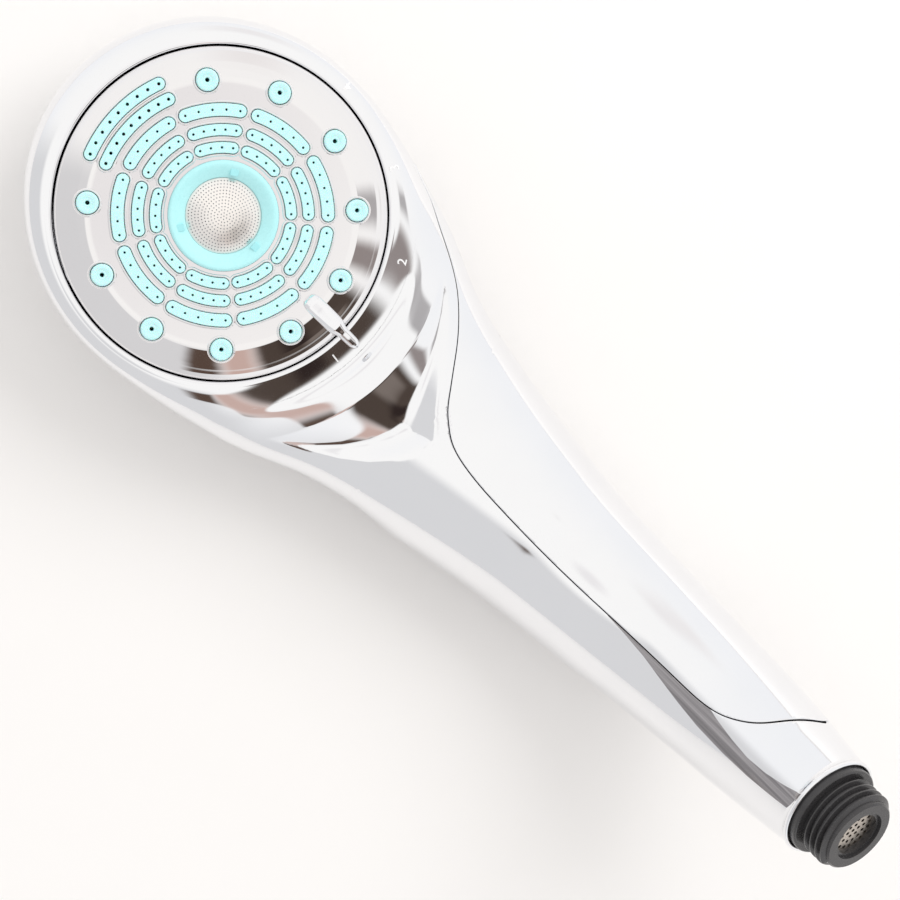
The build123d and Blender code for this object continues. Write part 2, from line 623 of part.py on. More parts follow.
def build():
    blank = face_blank()
    main_shell, side_cover = shells()
    upper_seat = Plane(origin=(0, -UPPER_O_RING_REACH, SPINE_Z), x_dir=(1, 0, 0), z_dir=(0, -1, 0))
    lower_seat = spine_plane(BEND_ANGLE, TAIL_LENGTH + LOWER_O_RING_OUT)
    post_seat = Plane(origin=(0, 0, (DIVERTER_TOP_Z + DIVERTER_BACK_Z) / 2), z_dir=(0, 0, 1))
    return {
        "main_shell": main_shell,
        "side_cover": side_cover,
        "valve_body": valve_body(),
        "port_seal_cup": port_seal_cup(),
        "port_seal_spring": port_seal_spring(),
        "post_o_ring": o_ring(post_seat, POST_RADIUS - O_RING_SECTION + 0.03, O_RING_SECTION),
        "click_spring": click_spring(),
        "pivot_screw": cross_head_screw(POST_TOP_Z + 2.6, 1.8, 8.0),
        "pivot_washer": pivot_washer(),
        "housing_screws": housing_screws(),
        "water_tube": water_tube(),
        "tube_o_ring_upper": o_ring(upper_seat, O_RING_MAJOR, O_RING_SECTION),
        "tube_o_ring_lower": o_ring(lower_seat, O_RING_MAJOR, O_RING_SECTION),
        "bubble_nozzle": bubble_nozzle(),
        "inlet_fitting": inlet_fitting(),
        "fitting_clip": fitting_clip(),
        "inlet_strainer": inlet_strainer(),
        "strainer_ring": strainer_ring(),
        "face_plate": face_plate(blank),
        "selector_lever": selector_lever(blank),
        "nozzle_mat": nozzle_mat(),
        "jet_nozzles": jet_nozzles(),
        "mist_ring": mist_ring(),
        "mist_dome": mist_dome(),
        "mist_core": mist_core(),
        "spray_chamber": spray_chamber(),
        "diverter_plate": diverter_plate(),
        "retaining_ring": retaining_ring(),
    }


os.makedirs("parts", exist_ok=True)
for name, shape in build().items():
    if isinstance(shape, list):
        shape = Compound(children=shape)
    export_step(to_row(shape), "parts/" + name + ".step")
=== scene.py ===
import json
import math

import bmesh
import bpy
import numpy as np
from mathutils import Matrix, Vector


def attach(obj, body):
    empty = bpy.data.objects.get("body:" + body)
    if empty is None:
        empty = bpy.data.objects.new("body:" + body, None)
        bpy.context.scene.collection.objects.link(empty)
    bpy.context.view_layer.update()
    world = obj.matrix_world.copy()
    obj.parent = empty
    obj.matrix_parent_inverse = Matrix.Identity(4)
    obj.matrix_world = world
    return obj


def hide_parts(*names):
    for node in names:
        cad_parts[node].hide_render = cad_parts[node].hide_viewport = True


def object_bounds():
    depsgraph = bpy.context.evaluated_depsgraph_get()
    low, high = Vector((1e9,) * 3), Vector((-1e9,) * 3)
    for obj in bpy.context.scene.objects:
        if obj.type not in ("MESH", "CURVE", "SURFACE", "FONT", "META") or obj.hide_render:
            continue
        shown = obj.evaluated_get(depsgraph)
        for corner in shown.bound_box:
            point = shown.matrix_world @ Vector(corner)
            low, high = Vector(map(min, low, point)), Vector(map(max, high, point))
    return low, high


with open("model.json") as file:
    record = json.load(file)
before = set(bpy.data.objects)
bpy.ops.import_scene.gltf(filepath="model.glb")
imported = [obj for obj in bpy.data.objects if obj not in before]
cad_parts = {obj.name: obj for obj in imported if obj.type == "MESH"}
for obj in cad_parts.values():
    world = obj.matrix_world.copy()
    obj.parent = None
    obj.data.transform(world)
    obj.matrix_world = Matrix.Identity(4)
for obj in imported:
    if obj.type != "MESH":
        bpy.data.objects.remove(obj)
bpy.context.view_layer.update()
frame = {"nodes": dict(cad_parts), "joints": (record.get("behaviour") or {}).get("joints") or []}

# The looks of a handheld shower head. Shapes are worked out in the face frame, in millimetres: x across
# to the right, reach from the centre of the spray face towards the handle's end, and height along the
# face's normal. place() moves them to the row frame, in metres.

MM = 0.001
DIAL_JOINT = frame["joints"][0]
FACE = np.array(DIAL_JOINT["pos_m"], float)
NODES = frame["nodes"]

# Camera: where it stands from the face's centre, how it leans along the handle, and its roll.
CAMERA_SIDE, CAMERA_REACH, CAMERA_HEIGHT = -2.1, -29.6, 451.3
CAMERA_LEAN = math.radians(13.0)
CAMERA_ROLL = math.radians(45.7)
CAMERA_LENS, CAMERA_SENSOR = 80.0, 36.0

# Head and neck sections: reach, half width, side shift, middle height, rise, drop.
NECK = np.array([
    (0.0, 43.4, 0.0, -10.0, 31.0, 31.0),
    (5.0, 43.25, 0.0, -10.1, 29.3, 30.9),
    (12.0, 42.4, -0.1, -10.5, 25.5, 30.5),
    (20.0, 41.1, -0.3, -11.5, 20.8, 29.4),
    (30.0, 38.9, -0.6, -13.1, 16.4, 27.6),
    (42.0, 35.7, -0.8, -15.8, 13.4, 24.6),
    (56.0, 30.3, -1.0, -18.6, 14.4, 22.0),
    (72.0, 26.6, -1.2, -20.9, 16.8, 20.0),
    (88.0, 24.0, -1.2, -22.2, 18.4, 19.0),
    (105.5, 21.5, -0.9, -22.5, 18.8, 18.8),
])
HEAD_HALF_WIDTH, HEAD_REACH, HEAD_DEPTH, HEAD_MIDDLE = 43.4, 45.5, 31.0, -10.0
# Handle sections: distance along the body, half width, side shift, and half height either way.
HANDLE = np.array([
    (119.0, 19.9, -0.8, 18.4),
    (136.0, 18.5, -0.4, 17.7),
    (153.0, 17.3, 0.0, 16.9),
    (171.0, 16.2, 0.3, 15.9),
    (189.0, 14.9, 0.4, 14.8),
    (199.0, 13.9, 0.2, 13.9),
    (209.2, 12.7, 0.0, 12.7),
])
SPINE_HEIGHT, BEND_START, BEND_RADIUS, BEND_ANGLE, TAIL = -22.5, 105.5, 95.5, math.radians(55.0), 12.0
BEND_LENGTH = BEND_RADIUS * BEND_ANGLE
SPINE_LENGTH = BEND_START + BEND_LENGTH + TAIL


def place(points):
    """Face-frame millimetres (x, reach, height) to row-frame metres."""
    p = np.asarray(points, float)
    return np.stack([p[..., 0], -p[..., 1], p[..., 2]], -1) * MM + FACE


def smooth_line(knots, values, flat_start=False):
    """Natural cubic through the knots, or one that starts level."""
    x, y = np.asarray(knots, float), np.asarray(values, float)
    n, h = len(x), np.diff(x)
    a, b = np.zeros((n, n)), np.zeros(n)
    a[0, 0] = a[-1, -1] = 1.0
    if flat_start:
        a[0, :2] = 2 * h[0], h[0]
        b[0] = 6 * (y[1] - y[0]) / h[0]
    for i in range(1, n - 1):
        a[i, i - 1:i + 2] = h[i - 1], 2 * (h[i - 1] + h[i]), h[i]
        b[i] = 6 * ((y[i + 1] - y[i]) / h[i] - (y[i] - y[i - 1]) / h[i - 1])
    m = np.linalg.solve(a, b)

    def line(at):
        at = np.clip(np.asarray(at, float), x[0], x[-1])
        i = np.clip(np.searchsorted(x, at, side="right") - 1, 0, n - 2)
        d, w = h[i], at - x[i]
        slope = (y[i + 1] - y[i]) / d - d * (2 * m[i] + m[i + 1]) / 6
        return y[i] + w * (slope + w * (m[i] / 2 + w * (m[i + 1] - m[i]) / (6 * d)))

    return line


def section_lines():
    """Half width, side shift, middle, rise and drop along the whole body, as smooth lines."""
    at, width, side, height = HANDLE.T
    handle = np.column_stack([at, width, side, np.full(len(at), SPINE_HEIGHT), height, height])
    rows = np.vstack([NECK, handle])
    return [smooth_line(rows[:, 0], rows[:, i], flat_start=True) for i in range(1, 6)]


SECTION_LINES = section_lines()


# ---- mesh helpers ----

LATHE_WELD, FINE_WELD = 1e-6, 1e-9


def mesh_object(name, verts, faces, smooth=True):
    mesh = bpy.data.meshes.new(name)
    mesh.from_pydata([tuple(v) for v in np.asarray(verts).reshape(-1, 3)], [], [tuple(f) for f in faces])
    mesh.validate()
    mesh.polygons.foreach_set("use_smooth", [smooth] * len(mesh.polygons))
    obj = bpy.data.objects.new(name, mesh)
    bpy.context.scene.collection.objects.link(obj)
    return obj


def grid_faces(rows, columns):
    """Quads between the closed rows of a grid."""
    faces = []
    for i in range(rows - 1):
        for j in range(columns):
            k = (j + 1) % columns
            faces.append([i * columns + j, i * columns + k, (i + 1) * columns + k, (i + 1) * columns + j])
    return faces


def weld(obj, distance=1e-7):
    bm = bmesh.new()
    bm.from_mesh(obj.data)
    bmesh.ops.remove_doubles(bm, verts=bm.verts, dist=distance)
    bmesh.ops.recalc_face_normals(bm, faces=bm.faces)
    bm.to_mesh(obj.data)
    bm.free()
    obj.data.polygons.foreach_set("use_smooth", [True] * len(obj.data.polygons))
    return obj


def joined(name, objects):
    """One object from several."""
    verts, faces, smooth, count = [], [], [], 0
    depsgraph = bpy.context.evaluated_depsgraph_get()
    for obj in objects:
        mesh = bpy.data.meshes.new_from_object(obj.evaluated_get(depsgraph))
        verts.extend((obj.matrix_world @ v.co)[:] for v in mesh.vertices)
        faces.extend([count + i for i in p.vertices] for p in mesh.polygons)
        smooth.extend(p.use_smooth for p in mesh.polygons)
        count += len(mesh.vertices)
        bpy.data.meshes.remove(mesh)
    for obj in objects:
        bpy.data.objects.remove(obj)
    whole = mesh_object(name, verts, faces)
    whole.data.polygons.foreach_set("use_smooth", smooth)
    return whole


def lathe_points(profile, segments, matrix):
    """Points of a turned shape; profile is (radius, height) in millimetres along the matrix's z."""
    turn = np.linspace(0, 2 * math.pi, segments, endpoint=False)
    radius, height = np.asarray(profile, float).T
    x = radius[:, None] * np.cos(turn)[None]
    y = radius[:, None] * np.sin(turn)[None]
    z = np.repeat(height[:, None], segments, 1)
    p = np.stack([x, y, z, np.ones_like(x)], -1) @ np.array(matrix).T
    return p[..., :3]


def lathe(name, profile, segments, matrix=None, closed=True):
    """Turned mesh about the matrix's z axis, in row-frame metres."""
    matrix = FACE_MATRIX if matrix is None else matrix
    scaled = [(r * MM, z * MM) for r, z in profile]
    if closed:
        scaled.append(scaled[0])
    points = lathe_points(scaled, segments, matrix)
    obj = mesh_object(name, points, grid_faces(len(scaled), segments))
    return weld(obj, LATHE_WELD)


FACE_MATRIX = Matrix.Translation(Vector(FACE))


def frame_at(distance):
    """Centre line point, and its slope in radians, at a distance along the body."""
    if distance <= BEND_START:
        origin, angle = (0.0, distance, SPINE_HEIGHT), 0.0
    else:
        angle = min((distance - BEND_START) / BEND_RADIUS, BEND_ANGLE)
        past = distance - BEND_START - angle * BEND_RADIUS
        reach = BEND_START + BEND_RADIUS * math.sin(angle) + past * math.cos(angle)
        height = SPINE_HEIGHT + BEND_RADIUS * (1 - math.cos(angle)) + past * math.sin(angle)
        origin = (0.0, reach, height)
    return origin, angle


# ---- outer skin: an egg and a neck, with the front, the trough and the scoop taken away ----

# Front edge round the face, the trough beside it, and the scoop below the ridge.
LIP_HEIGHT, LIP_RADIUS, OPENING_RADIUS = -3.5, 38.4, 37.72
LIP_FALL = 0.035
TROUGH_WALL, TROUGH_SLOPE = 46.6, 0.24
SCOOP_EDGE, SCOOP_FALL, SCOOP_RISE = 52.8, 0.27, 0.75
# Outline of the scoop between the ridge and the seam: x, reach.
SCOOP = np.array([
    (-36.0, 33.0), (-33.5, 37.0), (-30.6, 42.6), (-27.9, 48.5), (-25.2, 54.0), (-21.8, 59.5), (-17.3, 64.8),
    (-11.9, 69.0), (-6.7, 71.5), (-3.2, 71.6), (-0.4, 69.4), (2.6, 66.8), (6.0, 64.3), (10.9, 60.9),
    (15.8, 57.5), (20.2, 53.8), (23.6, 50.2), (26.7, 45.9), (29.2, 41.3), (31.4, 36.5), (33.0, 30.0),
])


def smooth_max(a, b, k):
    return 0.5 * (a + b + np.sqrt((a - b) ** 2 + k * k))


def side_of(loop, x, reach, limit=50.0):
    """Distance to a line seen from the front: positive on its right, inside the closed loop."""
    p = np.stack([x, reach], -1)
    best = np.full(len(p), 1e9)
    within = np.zeros(len(p), bool)
    for a, b in zip(loop, np.roll(loop, -1, 0)):
        d = b - a
        t = np.clip(((p - a) @ d) / (d @ d), 0, 1)
        if a[0] < limit or b[0] < limit:
            best = np.minimum(best, np.hypot(*(p - a - t[:, None] * d).T))
        crosses = (a[1] > p[:, 1]) != (b[1] > p[:, 1])
        if a[1] != b[1]:
            at = a[0] + (p[:, 1] - a[1]) / (b[1] - a[1]) * d[0]
            within ^= crosses & (p[:, 0] < at)
    return np.where(within, best, -best)


def scoop_depth(x, reach):
    """How far the front is carved below the ridge: down from the ridge, then up again to its outline."""
    past = np.maximum(np.hypot(x, reach) - SCOOP_EDGE, 0)
    depth = np.zeros(past.shape)
    inside = (past > 0) & (reach > 30) & (reach < 74)
    if inside.any():
        edge = np.maximum(side_of(SCOOP, x[inside], reach[inside]), 0)
        fall, rise = SCOOP_FALL * past[inside], SCOOP_RISE * edge * edge / (edge + 1.2)
        depth[inside] = fall * rise / ((fall ** 3 + rise ** 3) ** (1 / 3) + 0.05)
    return depth


def skin(x, reach, height):
    """Negative inside the head and neck, positive outside, roughly in millimetres."""
    height = height + scoop_depth(x, reach) * np.clip((height + 20.0) / 6.0, 0, 1)
    w, side, middle, rise, drop = [line(reach) for line in SECTION_LINES]
    depth = np.where(height > middle, rise, drop)
    neck = np.sqrt(((x - side) / w) ** 2 + ((height - middle) / depth) ** 2)
    up = (height - HEAD_MIDDLE) / HEAD_DEPTH
    egg = np.sqrt((x / HEAD_HALF_WIDTH) ** 2 + (reach / HEAD_REACH) ** 2 + up ** 2)
    body = (np.where(reach < 0, egg, neck) - 1) * 20.0
    r = np.hypot(x, reach)
    lip = lip_height(x, reach)
    front = -smooth_max(r - TROUGH_WALL, lip - height, 2.2)
    return smooth_max(body, front, 1.6 * np.clip((96.0 - reach) / 30.0, 0.0, 1.0))


# Guide rings from the face opening round the back of the head to the neck: front point, back point,
# half width, and the inside point that the rays start from. Points are (reach, height).
GUIDES = np.array([
    # front reach, height, back reach, height, half width, inside reach, inside height
    (39.2, -3.8, -39.2, -3.8, 39.2, 0.0, -22.0),
    (40.2, -4.4, -40.6, -4.2, 40.4, 0.0, -22.0),
    (41.4, -5.0, -42.6, -5.2, 41.8, 3.0, -23.0),
    (42.6, -5.4, -44.4, -7.6, 43.0, 8.0, -24.0),
    (43.8, -5.2, -45.4, -11.5, 43.6, 14.0, -25.0),
    (45.0, -4.2, -45.0, -17.0, 43.4, 20.0, -26.0),
    (46.2, -2.6, -42.5, -23.0, 42.8, 25.0, -26.5),
    (47.2, -1.6, -37.0, -29.5, 42.0, 29.0, -26.5),
    (48.2, -1.3, -28.0, -34.8, 41.0, 31.5, -26.0),
    (49.4, -1.4, -15.0, -39.0, 39.8, 34.0, -25.0),
    (50.8, -1.6, 0.0, -41.0, 38.4, 37.0, -24.0),
    (52.4, -2.2, 16.0, -41.2, 36.8, 41.0, -22.5),
    (54.6, -4.0, 32.0, -41.0, 34.5, 46.0, -21.0),
    (58.0, -6.0, 47.0, -40.8, 31.5, 52.5, -20.0),
    (63.0, -7.0, 60.0, -40.6, 28.8, 61.0, -19.8),
    (68.0, -5.0, 68.0, -40.8, 27.2, 68.0, -20.4),
])
HEAD_RINGS, NECK_RINGS, HANDLE_RINGS = 170, 48, 110
AROUND = 400


def head_rings():
    """Guide ring functions of the ring number and the angle round it."""
    at = np.linspace(0, 1, len(GUIDES))
    lines = [smooth_line(at, GUIDES[:, i]) for i in range(GUIDES.shape[1])]

    def ring(t, turn):
        fr, fh, br, bh, w, kr, kh = [line(t) for line in lines]
        c, s = np.cos(turn), np.sin(turn)
        guide = np.stack([w * s, (fr + br) / 2 + c * (fr - br) / 2, (fh + bh) / 2 + c * (fh - bh) / 2], -1)
        inside = np.stack(np.broadcast_arrays(0.0 * s, kr, kh), -1)
        return inside, guide

    return ring


HEAD_RING = head_rings()


def on_skin(inside, guide):
    """Where the ray from the inside point through the guide point leaves the skin."""
    low, high = np.full(guide.shape[:-1], 0.15), np.full(guide.shape[:-1], 1.9)
    for _ in range(28):
        mid = (low + high) / 2
        p = inside + (guide - inside) * mid[..., None]
        out = skin(p[..., 0], p[..., 1], p[..., 2]) > 0
        high, low = np.where(out, mid, high), np.where(out, low, mid)
    return inside + (guide - inside) * low[..., None]


def body_point(ring, turn):
    """Skin points of a ring, counted from the face opening, at angles from the front."""
    turn = np.asarray(turn, float)
    if ring < HEAD_RINGS:
        return on_skin(*HEAD_RING(ring / HEAD_RINGS, turn))
    if ring < HEAD_RINGS + NECK_RINGS:
        start = GUIDES[-1, 0]
        reach = start + (BEND_START - start) * (ring - HEAD_RINGS) / NECK_RINGS
        w, side, middle, rise, drop = [line(reach) for line in SECTION_LINES]
        depth = np.where(np.cos(turn) > 0, rise, drop)
        level = np.full(turn.shape, reach)
        guide = np.stack([side + w * np.sin(turn), level, middle + depth * np.cos(turn)], -1)
        inside = np.stack([0.0 * level, level, np.full(turn.shape, middle)], -1)
        return on_skin(inside, guide)
    distance = BEND_START + (SPINE_LENGTH - BEND_START) * (ring - HEAD_RINGS - NECK_RINGS) / HANDLE_RINGS
    w, side, middle, rise, drop = [line(distance) for line in SECTION_LINES]
    origin, angle = frame_at(distance)
    up = np.where(np.cos(turn) > 0, rise, drop) * np.cos(turn) + middle - SPINE_HEIGHT
    x = side + w * np.sin(turn)
    return np.stack([x, origin[1] - up * math.sin(angle), origin[2] + up * math.cos(angle)], -1)


RINGS = HEAD_RINGS + NECK_RINGS + HANDLE_RINGS


# Seam between the shells, seen from the front: x, reach. It leaves the skin's right edge at both ends.
SEAM = np.array([
    (42.5, 17.0), (40.0, 22.5), (38.0, 27.5), (36.4, 32.0), (33.8, 37.2),
    (31.3, 42.4), (28.8, 47.2), (25.8, 51.6), (22.0, 55.6), (17.3, 59.5), (12.3, 62.9), (7.3, 66.3),
    (4.0, 68.8), (1.7, 71.4), (-0.3, 74.2), (-1.7, 77.6), (-2.5, 81.2), (-3.1, 85.5), (-3.7, 94.0),
    (-4.1, 104.8), (-4.2, 118.0), (-3.9, 131.0), (-3.6, 143.0), (-3.5, 152.0), (-3.1, 158.6),
    (-2.2, 161.7), (-0.8, 164.0), (1.3, 166.4), (3.9, 168.6), (7.0, 171.0), (11.0, 175.2),
    (14.0, 180.4), (17.0, 187.0),
])
# Crease that the flank falls away from: the seam, then straight on to the handle's end.
CREASE_END = np.array([
    (-3.6, 156.0), (-3.7, 162.0), (-3.9, 168.0), (-3.7, 174.0), (-2.8, 180.0), (-1.5, 190.0),
])


# ---- cutting a mesh where a value passes zero ----

def clip(points, faces, side):
    """Keep the part of a mesh where side is below zero. Returns points, faces and the cut edges."""
    points, side = np.asarray(points, float), np.asarray(side, float)
    inside = side <= 0
    kept, crossed = [], []
    for size in sorted(set(map(len, faces))):
        group = np.array([f for f in faces if len(f) == size])
        count = inside[group].sum(1)
        kept.extend(group[count == size].tolist())
        crossed.extend(group[(count > 0) & (count < size)].tolist())
    extra, cuts, border = [], {}, []

    def cut(i, j):
        key = (i, j) if i < j else (j, i)
        if key not in cuts:
            t = side[i] / (side[i] - side[j])
            cuts[key] = len(points) + len(extra)
            extra.append((i, j, t))
        return cuts[key]

    for face in crossed:
        loop, n = [], len(face)
        for k in range(n):
            i, j = face[k], face[(k + 1) % n]
            if inside[i]:
                loop.append(int(i))
            if inside[i] != inside[j]:
                loop.append(cut(i, j))
        if len(loop) >= 3:
            kept.append(loop)
            for k in range(len(loop)):
                a, b = loop[k], loop[(k + 1) % len(loop)]
                if a >= len(points) and b >= len(points):
                    border.append((a, b))
    extra = np.array(extra).reshape(-1, 3)
    i, j, t = extra[:, 0].astype(int), extra[:, 1].astype(int), extra[:, 2:]
    return i, j, t, kept, border


def clipped(points, faces, side, *more):
    """Clipped mesh arrays: points, each extra array cut the same way, faces and border edges."""
    i, j, t, kept, border = clip(points, faces, side)
    arrays = [np.asarray(a, float) for a in (points,) + more]
    arrays = [np.vstack([a, a[i] * (1 - t) + a[j] * t]) if len(i) else a for a in arrays]
    used = np.unique(np.concatenate([np.asarray(f) for f in kept]))
    number = -np.ones(len(arrays[0]), int)
    number[used] = np.arange(len(used))
    faces = [number[f].tolist() for f in kept]
    border = [(number[a], number[b]) for a, b in border]
    return [a[used] for a in arrays], faces, border


def turned_edge(points, normals, faces, border, steps):
    """Adds strips from the cut edge: each step is (outward, inward) in the points' unit."""
    centre = {}
    for f in faces:
        for k in range(len(f)):
            centre[(f[k], f[(k + 1) % len(f)])] = points[f].mean(0)
    outward = {}
    for a, b in border:
        along = points[b] - points[a]
        n = normals[a] + normals[b]
        out = np.cross(along, n)
        size = np.linalg.norm(out)
        if size < 1e-12:
            continue
        out /= size
        if np.dot(out, (points[a] + points[b]) / 2 - centre[(a, b)]) < 0:
            out = -out
        for v in (a, b):
            outward[v] = outward.get(v, 0) + out
    order = sorted(outward)
    index = {v: k for k, v in enumerate(order)}
    out = np.array([outward[v] / (np.linalg.norm(outward[v]) + 1e-12) for v in order])
    base, normal = points[order], normals[order]
    normal = normal / np.linalg.norm(normal, axis=1, keepdims=True)
    rows, number = [points], [np.array(order)]
    for away, down in steps:
        number.append(np.arange(len(order)) + sum(len(r) for r in rows))
        rows.append(base + out * away - normal * down)
    faces = list(faces)
    for a, b in border:
        if a not in index or b not in index:
            continue
        i, j = index[a], index[b]
        for upper, lower in zip(number[:-1], number[1:]):
            faces.append([int(upper[j]), int(upper[i]), int(lower[i]), int(lower[j])])
    return np.vstack(rows), faces


# ---- shells ----

def dense_line(points, steps=8):
    p = np.asarray(points, float)
    at = np.concatenate([[0], np.cumsum(np.hypot(*np.diff(p, axis=0).T))])
    lines = [smooth_line(at, p[:, k]) for k in range(2)]
    t = np.linspace(0, at[-1], steps * len(p))
    return np.stack([line(t) for line in lines], -1)


SEAM_LINE = dense_line(SEAM)
SEAM_LOOP = np.vstack([[(60.0, 14.0)], SEAM_LINE, [(30.0, 199.0), (60.0, 199.0)]])
CREASE_LINE = dense_line(np.vstack([SEAM[:24], CREASE_END]), 6)
CREASE_LOOP = np.vstack([[(60.0, 14.0)], CREASE_LINE, [(1.0, 210.0), (60.0, 210.0)]])


SEAM_GAP = 0.2
# Outline of the narrow facet that opens beside the seam towards the handle's end, where dark chrome paints
# in shade and streaks of reflection: x, reach.
PAINTED_SHADE_FACET = np.array([
    (-2.5, 124.0), (-3.9, 127.0), (-4.4, 136.0), (-5.1, 143.0), (-6.2, 149.0), (-7.2, 155.0), (-8.0, 161.0),
    (-8.3, 167.8), (-8.1, 173.5), (-7.5, 178.0), (-6.9, 181.3), (-2.4, 180.4), (-3.6, 177.8), (-4.6, 174.5),
    (-5.0, 170.7), (-4.5, 166.5), (-3.6, 162.0), (-2.2, 157.0),
])


# The rolled lip at the handle's end: distance past the last section, radius.
RIM_SECTION = [
    (0.02, 12.74), (0.15, 12.88), (0.4, 13.0), (0.7, 13.03), (1.0, 12.95), (1.2, 12.75), (1.27, 12.5),
    (1.18, 12.28), (0.95, 12.13), (0.6, 12.07), (0.0, 12.05), (-3.0, 12.05),
]
RIM_ROWS = len(RIM_SECTION)
# The edge of the face opening: radius, depth below the front.
LIP_ROWS = [
    (OPENING_RADIUS, 6.0), (OPENING_RADIUS, 0.75), (37.76, 0.42), (37.9, 0.18), (38.15, 0.04), (38.5, 0.0),
]


def grid_length():
    return len(LIP_ROWS) + RINGS + 1 + RIM_ROWS


def rim_rows(turn):
    rows = []
    origin, angle = frame_at(SPINE_LENGTH)
    for past, radius in RIM_SECTION:
        up = radius * np.cos(turn)
        reach = origin[1] + past * math.cos(angle) - up * math.sin(angle)
        height = origin[2] + past * math.sin(angle) + up * math.cos(angle)
        rows.append(np.stack([radius * np.sin(turn), reach, height], -1))
    return rows


def shell_grid():
    turn = np.linspace(0, 2 * math.pi, AROUND, endpoint=False)
    rows = [body_point(ring, turn) for ring in range(RINGS + 1)]
    first = rows[0]
    direction = np.arctan2(first[:, 0], first[:, 1])
    lip = []
    for radius, drop in LIP_ROWS:
        x, reach = radius * np.sin(direction), radius * np.cos(direction)
        lip.append(np.stack([x, reach, lip_height(x, reach, 38.5) - drop], -1))
    return np.array(lip + rows + rim_rows(turn))


def lip_height(x, reach, radius=None):
    """Height of the shell's front around the face, lower in the trough on the handle's side."""
    r = np.hypot(x, reach)
    along = np.clip(reach / np.maximum(r, 1e-6), -1, 1)
    r = np.full(r.shape, radius) if radius else r
    trough = np.clip((along - 0.62) / 0.3, 0, 1)
    trough = trough * trough * (3 - 2 * trough)
    dip = TROUGH_SLOPE * np.clip(r - 38.4, 0, 9.0)
    return LIP_HEIGHT - LIP_FALL * np.maximum(r - LIP_RADIUS, 0) ** 2 * (1 - trough) - trough * (0.2 + dip)


def grid_normals(grid):
    along = np.gradient(grid, axis=0)
    around = np.roll(grid, -1, 1) - np.roll(grid, 1, 1)
    n = np.cross(along, around)
    n /= np.linalg.norm(n, axis=-1, keepdims=True) + 1e-12
    return n


def flank_drop(x, reach, rows):
    """How far the main shell's flank lies below the round section, left of the crease."""
    away = np.maximum(-side_of(CREASE_LOOP, x, reach), 0)
    width = np.interp(reach, (74, 138, 152, 168), (0.45, 0.5, 1.5, 2.2))
    slope = np.interp(reach, (72, 84, 120, 165), (0.0, 0.42, 0.5, 0.75))
    fall = 3.2 * (1 - np.exp(-away / 3.2)) - width * (1 - np.exp(-away / width))
    end = np.clip((grid_length() - 1 - RIM_ROWS - rows) / 30.0, 0, 1)
    return slope * fall * end * end * (3 - 2 * end)


# The shells' names, then which side of the seam and which side of the painted-shade facet's outline each
# keeps.
SHELLS = [("main_shell_skin", 1.0, 1.0), ("painted_shade_facet", 1.0, -1.0), ("side_cover_skin", -1.0, 0.0)]
# How an edge turns in at the seam: steps outward and inward.
SEAM_EDGE = [(0.05, 0.04), (0.09, 0.14), (0.1, 0.35), (0.1, 0.9)]

# Rows whose first point looks forward, used to turn the normals outward.
FRONT_ROW, FLAT_ROW = 60, 70
SEAM_WELD = 1.5e-5


def build_shells():
    grid = shell_grid()
    normals = grid_normals(grid)
    if normals[FRONT_ROW, 0, 2] < 0:
        normals = -normals
    flat, flat_normals = grid.reshape(-1, 3), normals.reshape(-1, 3)
    rows = np.repeat(np.arange(grid.shape[0]), AROUND)
    front = np.clip(flat_normals[:, 2] * 1.6 + 0.9, 0, 1)
    moved = flat - flat_normals * (flank_drop(flat[:, 0], flat[:, 1], rows) * front)[:, None]
    side = side_of(SEAM_LOOP, flat[:, 0], flat[:, 1])
    flat_normals = grid_normals(moved.reshape(grid.shape)).reshape(-1, 3)
    if flat_normals[FLAT_ROW * AROUND, 2] < 0:
        flat_normals = -flat_normals
    faces = grid_faces(grid.shape[0], AROUND)
    facet = side_of(PAINTED_SHADE_FACET, flat[:, 0], flat[:, 1])
    shells = []
    for name, seam, part in SHELLS:
        arrays, parts = [moved, flat_normals, side[:, None]], faces
        if part:
            arrays, parts, _ = clipped(moved, faces, part * facet, flat_normals, side[:, None])
        points, directions, across = arrays
        inside = seam * across[:, 0] + SEAM_GAP
        (kept, kept_normals), parts, border = clipped(points, parts, inside, directions)
        kept, parts = turned_edge(kept, kept_normals, parts, border, SEAM_EDGE)
        shells.append(weld(mesh_object(name, place(kept), parts), SEAM_WELD))
    return shells


def front_height(x, reach):
    """Height of the skin straight above a place on the front."""
    low, high = np.full(x.shape, -16.0), np.full(x.shape, 4.0)
    for _ in range(30):
        mid = (low + high) / 2
        out = skin(x, reach, mid) > 0
        high, low = np.where(out, mid, high), np.where(out, low, mid)
    return low


# Numbers printed beside the lever's stops: text, angle from the handle, distance from the face's centre.
NUMERALS = [("1", 7.5, 41.6), ("2", -30.0, 42.4), ("3", -60.0, 40.5), ("4", -90.0, 40.4)]
NUMERAL_SIZE, INK_LIFT = 3.1, 0.07


def build_numerals():
    parts = []
    for text, angle, radius in NUMERALS:
        curve = bpy.data.curves.new("numeral", "FONT")
        curve.body, curve.size, curve.offset = text, NUMERAL_SIZE, 0.03
        curve.align_x, curve.align_y = "CENTER", "CENTER"
        obj = bpy.data.objects.new("numeral", curve)
        bpy.context.scene.collection.objects.link(obj)
        mesh = bpy.data.meshes.new_from_object(obj.evaluated_get(bpy.context.evaluated_depsgraph_get()))
        bpy.data.objects.remove(obj)
        local = np.array([v.co[:2] for v in mesh.vertices])
        middle = on_face(radius, angle)
        up = -middle / radius
        right = np.array([-up[1], up[0]])
        flat = middle + local[:, :1] * right + local[:, 1:] * up
        height = front_height(flat[:, 0], flat[:, 1]) + INK_LIFT
        faces = [list(p.vertices) for p in mesh.polygons]
        parts.append(mesh_object("numeral", place(np.column_stack([flat, height])), faces, smooth=False))
    return joined("stop_numerals", parts)


# ---- spray face ----

